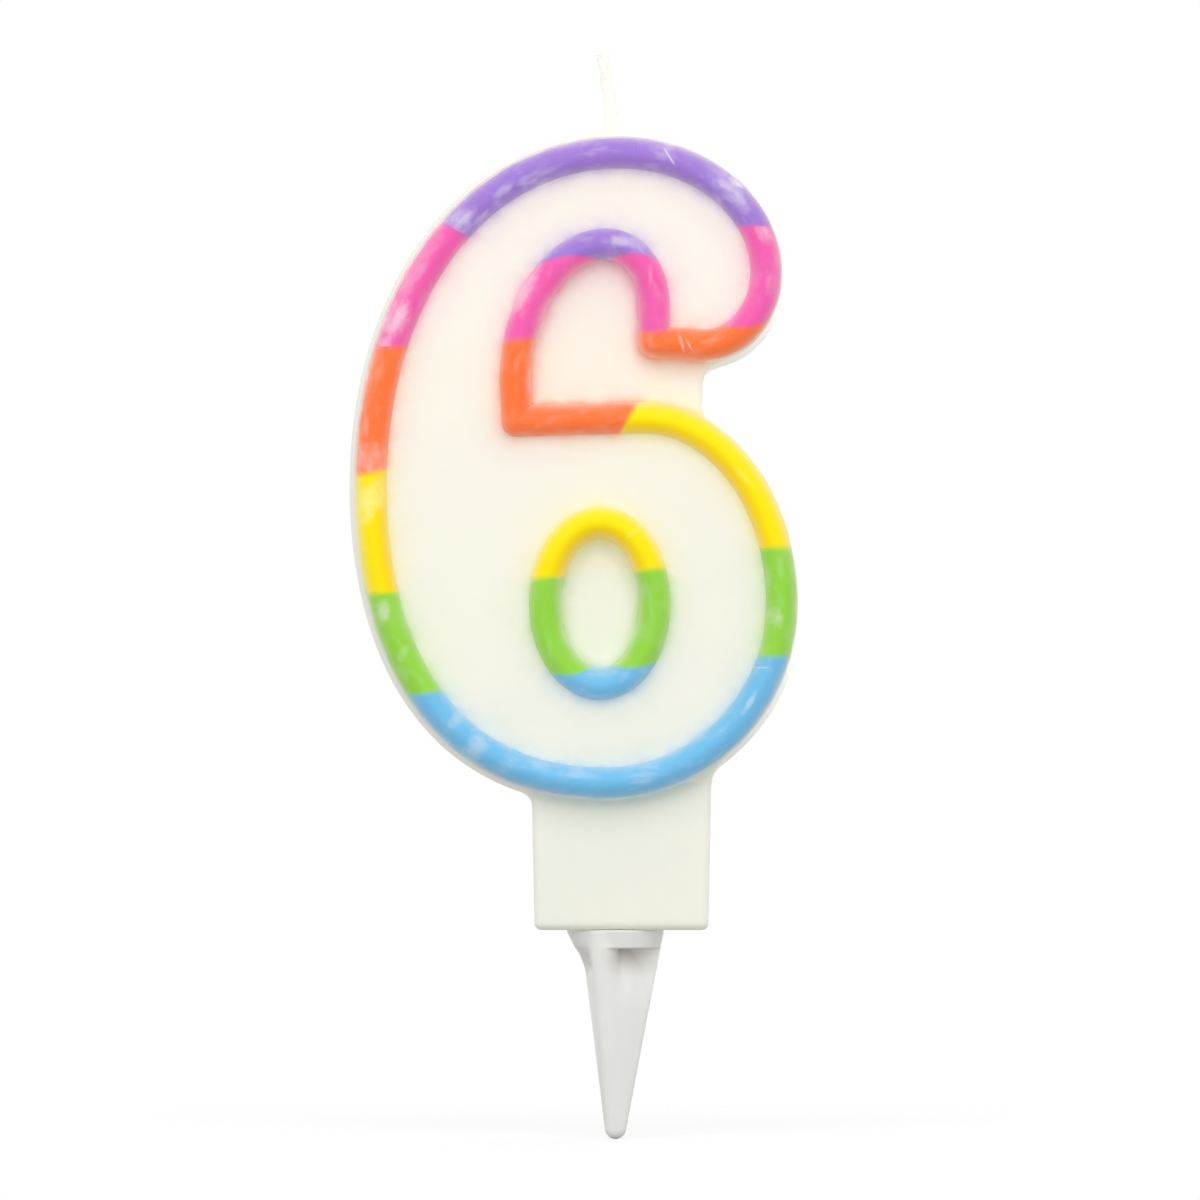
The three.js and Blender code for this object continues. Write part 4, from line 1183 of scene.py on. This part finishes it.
def coloured_wax(name):
    """Coloured wax: its colour from the bead's own attribute, thinner towards both edges of
    the bead, cloudy, brushed along, with pale rubbed spots and fine lines across. Yellow has
    painted shade, a deeper yellow, on its inner flank, and isn't brushed or hazy."""
    wax = new_finish(name + "_wax")
    place = wax.place()
    on_bead = wax.attribute("place", "Vector")
    outward = wax.split(on_bead)[1]
    to_edge = wax.math("DIVIDE", wax.math("ABSOLUTE", outward), HALF)
    cloud = wax.noise(place, 330.0, 3.0, 0.6)
    thin = wax.times(wax.math("POWER", to_edge, THIN_POWER), wax.ramp(cloud, 0.3, 0.7, *THIN))
    colour = wax.attribute("colour", "Color")
    # painted shade: a deeper yellow on the bead's inner flank
    if name == "yellow":
        low, high = SHADED_ACROSS
        inner = wax.ramp(outward, low * HALF, high * HALF, SHADED_SHARE, 0.0)
        colour = wax.mix(inner, colour, rgba(SHADED_YELLOW))
    colour = wax.mix(thin, colour, rgba(WHITE_HIGH))

    brush = wax.streaks(on_bead, along=260.0, across=640.0, roughness=0.55)
    brushed = wax.ramp(brush, 0.5, 0.78, to_high=BRUSHED[name])
    strokes = wax.ramp(brush, 0.38, 0.6, to_low=0.5)
    grain = wax.noise(place, 900.0, 3.0, 0.65)
    ragged = wax.times(wax.math("SUBTRACT", grain, 0.5), 1.2)
    rubbed = 0.0
    for *oval, pale in SCUFFS[name]:
        rubbed = wax.math("MAXIMUM", wax.times(wax.spot(ragged, *oval), pale), rubbed)
    rubbed = wax.times(rubbed, strokes)

    line = wax.ramp(wax.streaks(on_bead, along=2600.0, across=260.0), 0.6, 0.78)
    worn = wax.ramp(wax.noise(place, 140.0, detail=1.0), 0.5, 0.72, to_high=0.12)
    line = wax.times(line, worn)
    haze = wax.ramp(cloud, 0.45, 0.8, to_high=HAZE if BRUSHED[name] else 0.0)
    worn = wax.math("ADD", wax.math("ADD", line, haze), brushed)
    pale = wax.math("MAXIMUM", worn, wax.times(rubbed, RUBBED))
    colour = wax.mix(pale, colour, rgba(PALE_YELLOW if name == "yellow" else PALE))

    height = wax.math("SUBTRACT", wax.times(cloud, 0.8), rubbed)
    height = wax.math("SUBTRACT", height, line)
    return wax.surface(
        colour, wax.bump(height, 0.06 * MM, 0.7), wax.ramp(cloud, 0.3, 0.7, 0.4, 0.52),
        Specular_IOR_Level=0.12,
    )


def waxed_cotton():
    """Bleached cotton soaked in wax, with a fine noise for its threads."""
    finish = new_finish("waxed_cotton")
    thread = finish.noise(finish.place(), 2600.0, 3.0, 0.7)
    colour = finish.mix(finish.ramp(thread, 0.35, 0.7), *map(rgba, COTTON))
    normal = finish.bump(thread, 0.1 * MM, 0.6)
    return finish.surface(colour, normal, 0.8, Specular_IOR_Level=0.2, Sheen_Weight=0.2)


def pick_plastic():
    """Moulded white plastic, smooth, a little cloudy, with painted shade in its hollows."""
    finish = new_finish("white_plastic")
    place = finish.place()
    cloud = finish.noise(place, 160.0, detail=3.0)
    colour = finish.mix(finish.ramp(cloud, 0.3, 0.7), *map(rgba, PLASTIC))
    # painted shade in the scoop and the hollow darkens the plastic
    dim = finish.split(finish.attribute("dim", "Vector"))[0]
    colour = finish.mix(finish.times(dim, 0.6), colour, rgba(PLASTIC_PAINTED_SHADE))
    normal = finish.bump(finish.noise(place, 300.0), 0.02 * MM, 0.4)
    return finish.surface(
        colour, normal, finish.ramp(cloud, 0.3, 0.7, 0.3, 0.36),
        Subsurface_Weight=0.1,
        Subsurface_Radius=(1.0, 1.0, 0.9),
        Subsurface_Scale=0.5 * MM,
        Specular_IOR_Level=0.5,
    )


# Assembly

def dress(piece, node, material):
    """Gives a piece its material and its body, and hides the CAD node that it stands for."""
    piece.data.materials.clear()
    piece.data.materials.append(material)
    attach(piece, "root")
    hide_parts(node)


def dress_band(piece, node):
    colour = colour_of(node)
    dress(piece, node, waxes[colour])


def add_bands():
    """The bands between two changes of a run, then the oval's top, which closes its ring,
    and the two bands that go round a sharp corner from one run into the other."""
    for run in (main_run, inner_run, oval_run):
        for (node, start), (_, end) in zip(run.bands[1:-1], run.bands[2:]):
            dress_band(plain_band(node + "_wax", run, start, end), node)
    start = oval_run.bands[-1][1]
    end, shear = oval_run.bands[1][1]
    top = plain_band("oval_yellow_wax", oval_run, start, (end + oval_run.length, shear))
    dress_band(top, "oval_yellow")
    dress_band(corner_band("bead_orange_hook_wax", main_run, inner_run, 1), "bead_orange_hook")
    dress_band(corner_band("bead_orange_stem_wax", inner_run, main_run, -1), "bead_orange_stem")


# The stage

def add_floor():
    """A pale floor under the tip, which fades out into the white round it. The camera sees
    it lifted to white, and still sees the shadow on it."""
    mesh = bpy.data.meshes.new("floor")
    corners = [(sx * FLOOR_HALF, sy * FLOOR_HALF, pick_low[2])
               for sx, sy in ((-1, -1), (1, -1), (1, 1), (-1, 1))]
    mesh.from_pydata(corners, [], [(0, 1, 2, 3)])
    floor = add_object("floor", mesh)
    finish = new_finish("pale_floor")
    level = finish.node("Mapping", {"Vector": finish.place(), "Scale": (1.0, 1.0, 0.0)}).outputs[0]
    shown = finish.ramp(finish.length(level), *FLOOR_FADE, 1.0, 0.0)
    plain = finish.node("BsdfDiffuse", {"Color": FLOOR_GREY}).outputs[0]
    seen = finish.node("LightPath").outputs["Is Camera Ray"]
    lift = finish.node("Emission", {"Color": PLAIN_WHITE, "Strength": finish.times(seen, FLOOR_LIFT)})
    lifted = finish.node("AddShader", {0: plain, 1: lift.outputs[0]}).outputs[0]
    clear = finish.node("BsdfTransparent").outputs[0]
    faded = finish.node("MixShader", {0: shown, 1: clear, 2: lifted}).outputs[0]
    finish.node("OutputMaterial", {0: faded})
    mesh.materials.append(finish.owner)


def add_world():
    """A plain soft sky, dimmer from below. The camera and mirror-like surfaces see white."""
    world = bpy.data.worlds.new("studio")
    bpy.context.scene.world = world
    sky = Nodes(world)
    path = sky.node("LightPath").outputs
    seen = sky.math("MAXIMUM", path["Is Camera Ray"], path["Is Glossy Ray"])
    seen = sky.math("MAXIMUM", seen, path["Is Transmission Ray"])
    up = sky.split(sky.node("TexCoord").outputs["Generated"])[2]
    glow = sky.node("MapRange", {"Value": up, 1: -1.0, 2: 1.0, 3: SKY_BELOW, 4: SKY_ABOVE}).outputs[0]
    level = sky.node("MapRange", {"Value": seen, 3: glow, 4: 1.0}).outputs[0]
    light = sky.node("Background", {"Color": PLAIN_WHITE, "Strength": level}).outputs[0]
    sky.node("OutputWorld", {0: light})


def add_lamp(name, place, size, power):
    """A square soft box that looks at the middle of the frame's height."""
    light = bpy.data.lights.new(name, "AREA")
    light.size = size
    light.energy = power
    lamp = add_object(name, light)
    lamp.location = place
    looks = Vector((0.0, 0.0, FRAME_Z)) - Vector(place)
    lamp.rotation_euler = looks.to_track_quat("-Z", "Y").to_euler()


def add_camera():
    """The photograph's view: straight at the face, from far enough to look flat."""
    data = bpy.data.cameras.new("camera")
    data.sensor_width = SENSOR
    data.lens = SENSOR * CAMERA_AWAY / FRAME_SIDE
    data.clip_start = 0.1
    data.clip_end = 20.0
    camera = add_object("camera", data)
    camera.location = (FRAME_X, FRAME_Y - CAMERA_AWAY, FRAME_Z)
    camera.rotation_euler = (math.pi / 2, 0, 0)
    bpy.context.scene.camera = camera


waxes = {name: coloured_wax(name) for name in COLOURS}
dress(casting(), "wax_body", white_wax())
add_bands()
dress(wick(), "wick", waxed_cotton())
dress(pick(), "pick", pick_plastic())

add_floor()
add_world()
for lamp in LAMPS:
    add_lamp(*lamp)
add_camera()

bpy.context.scene.view_settings.view_transform = "Standard"
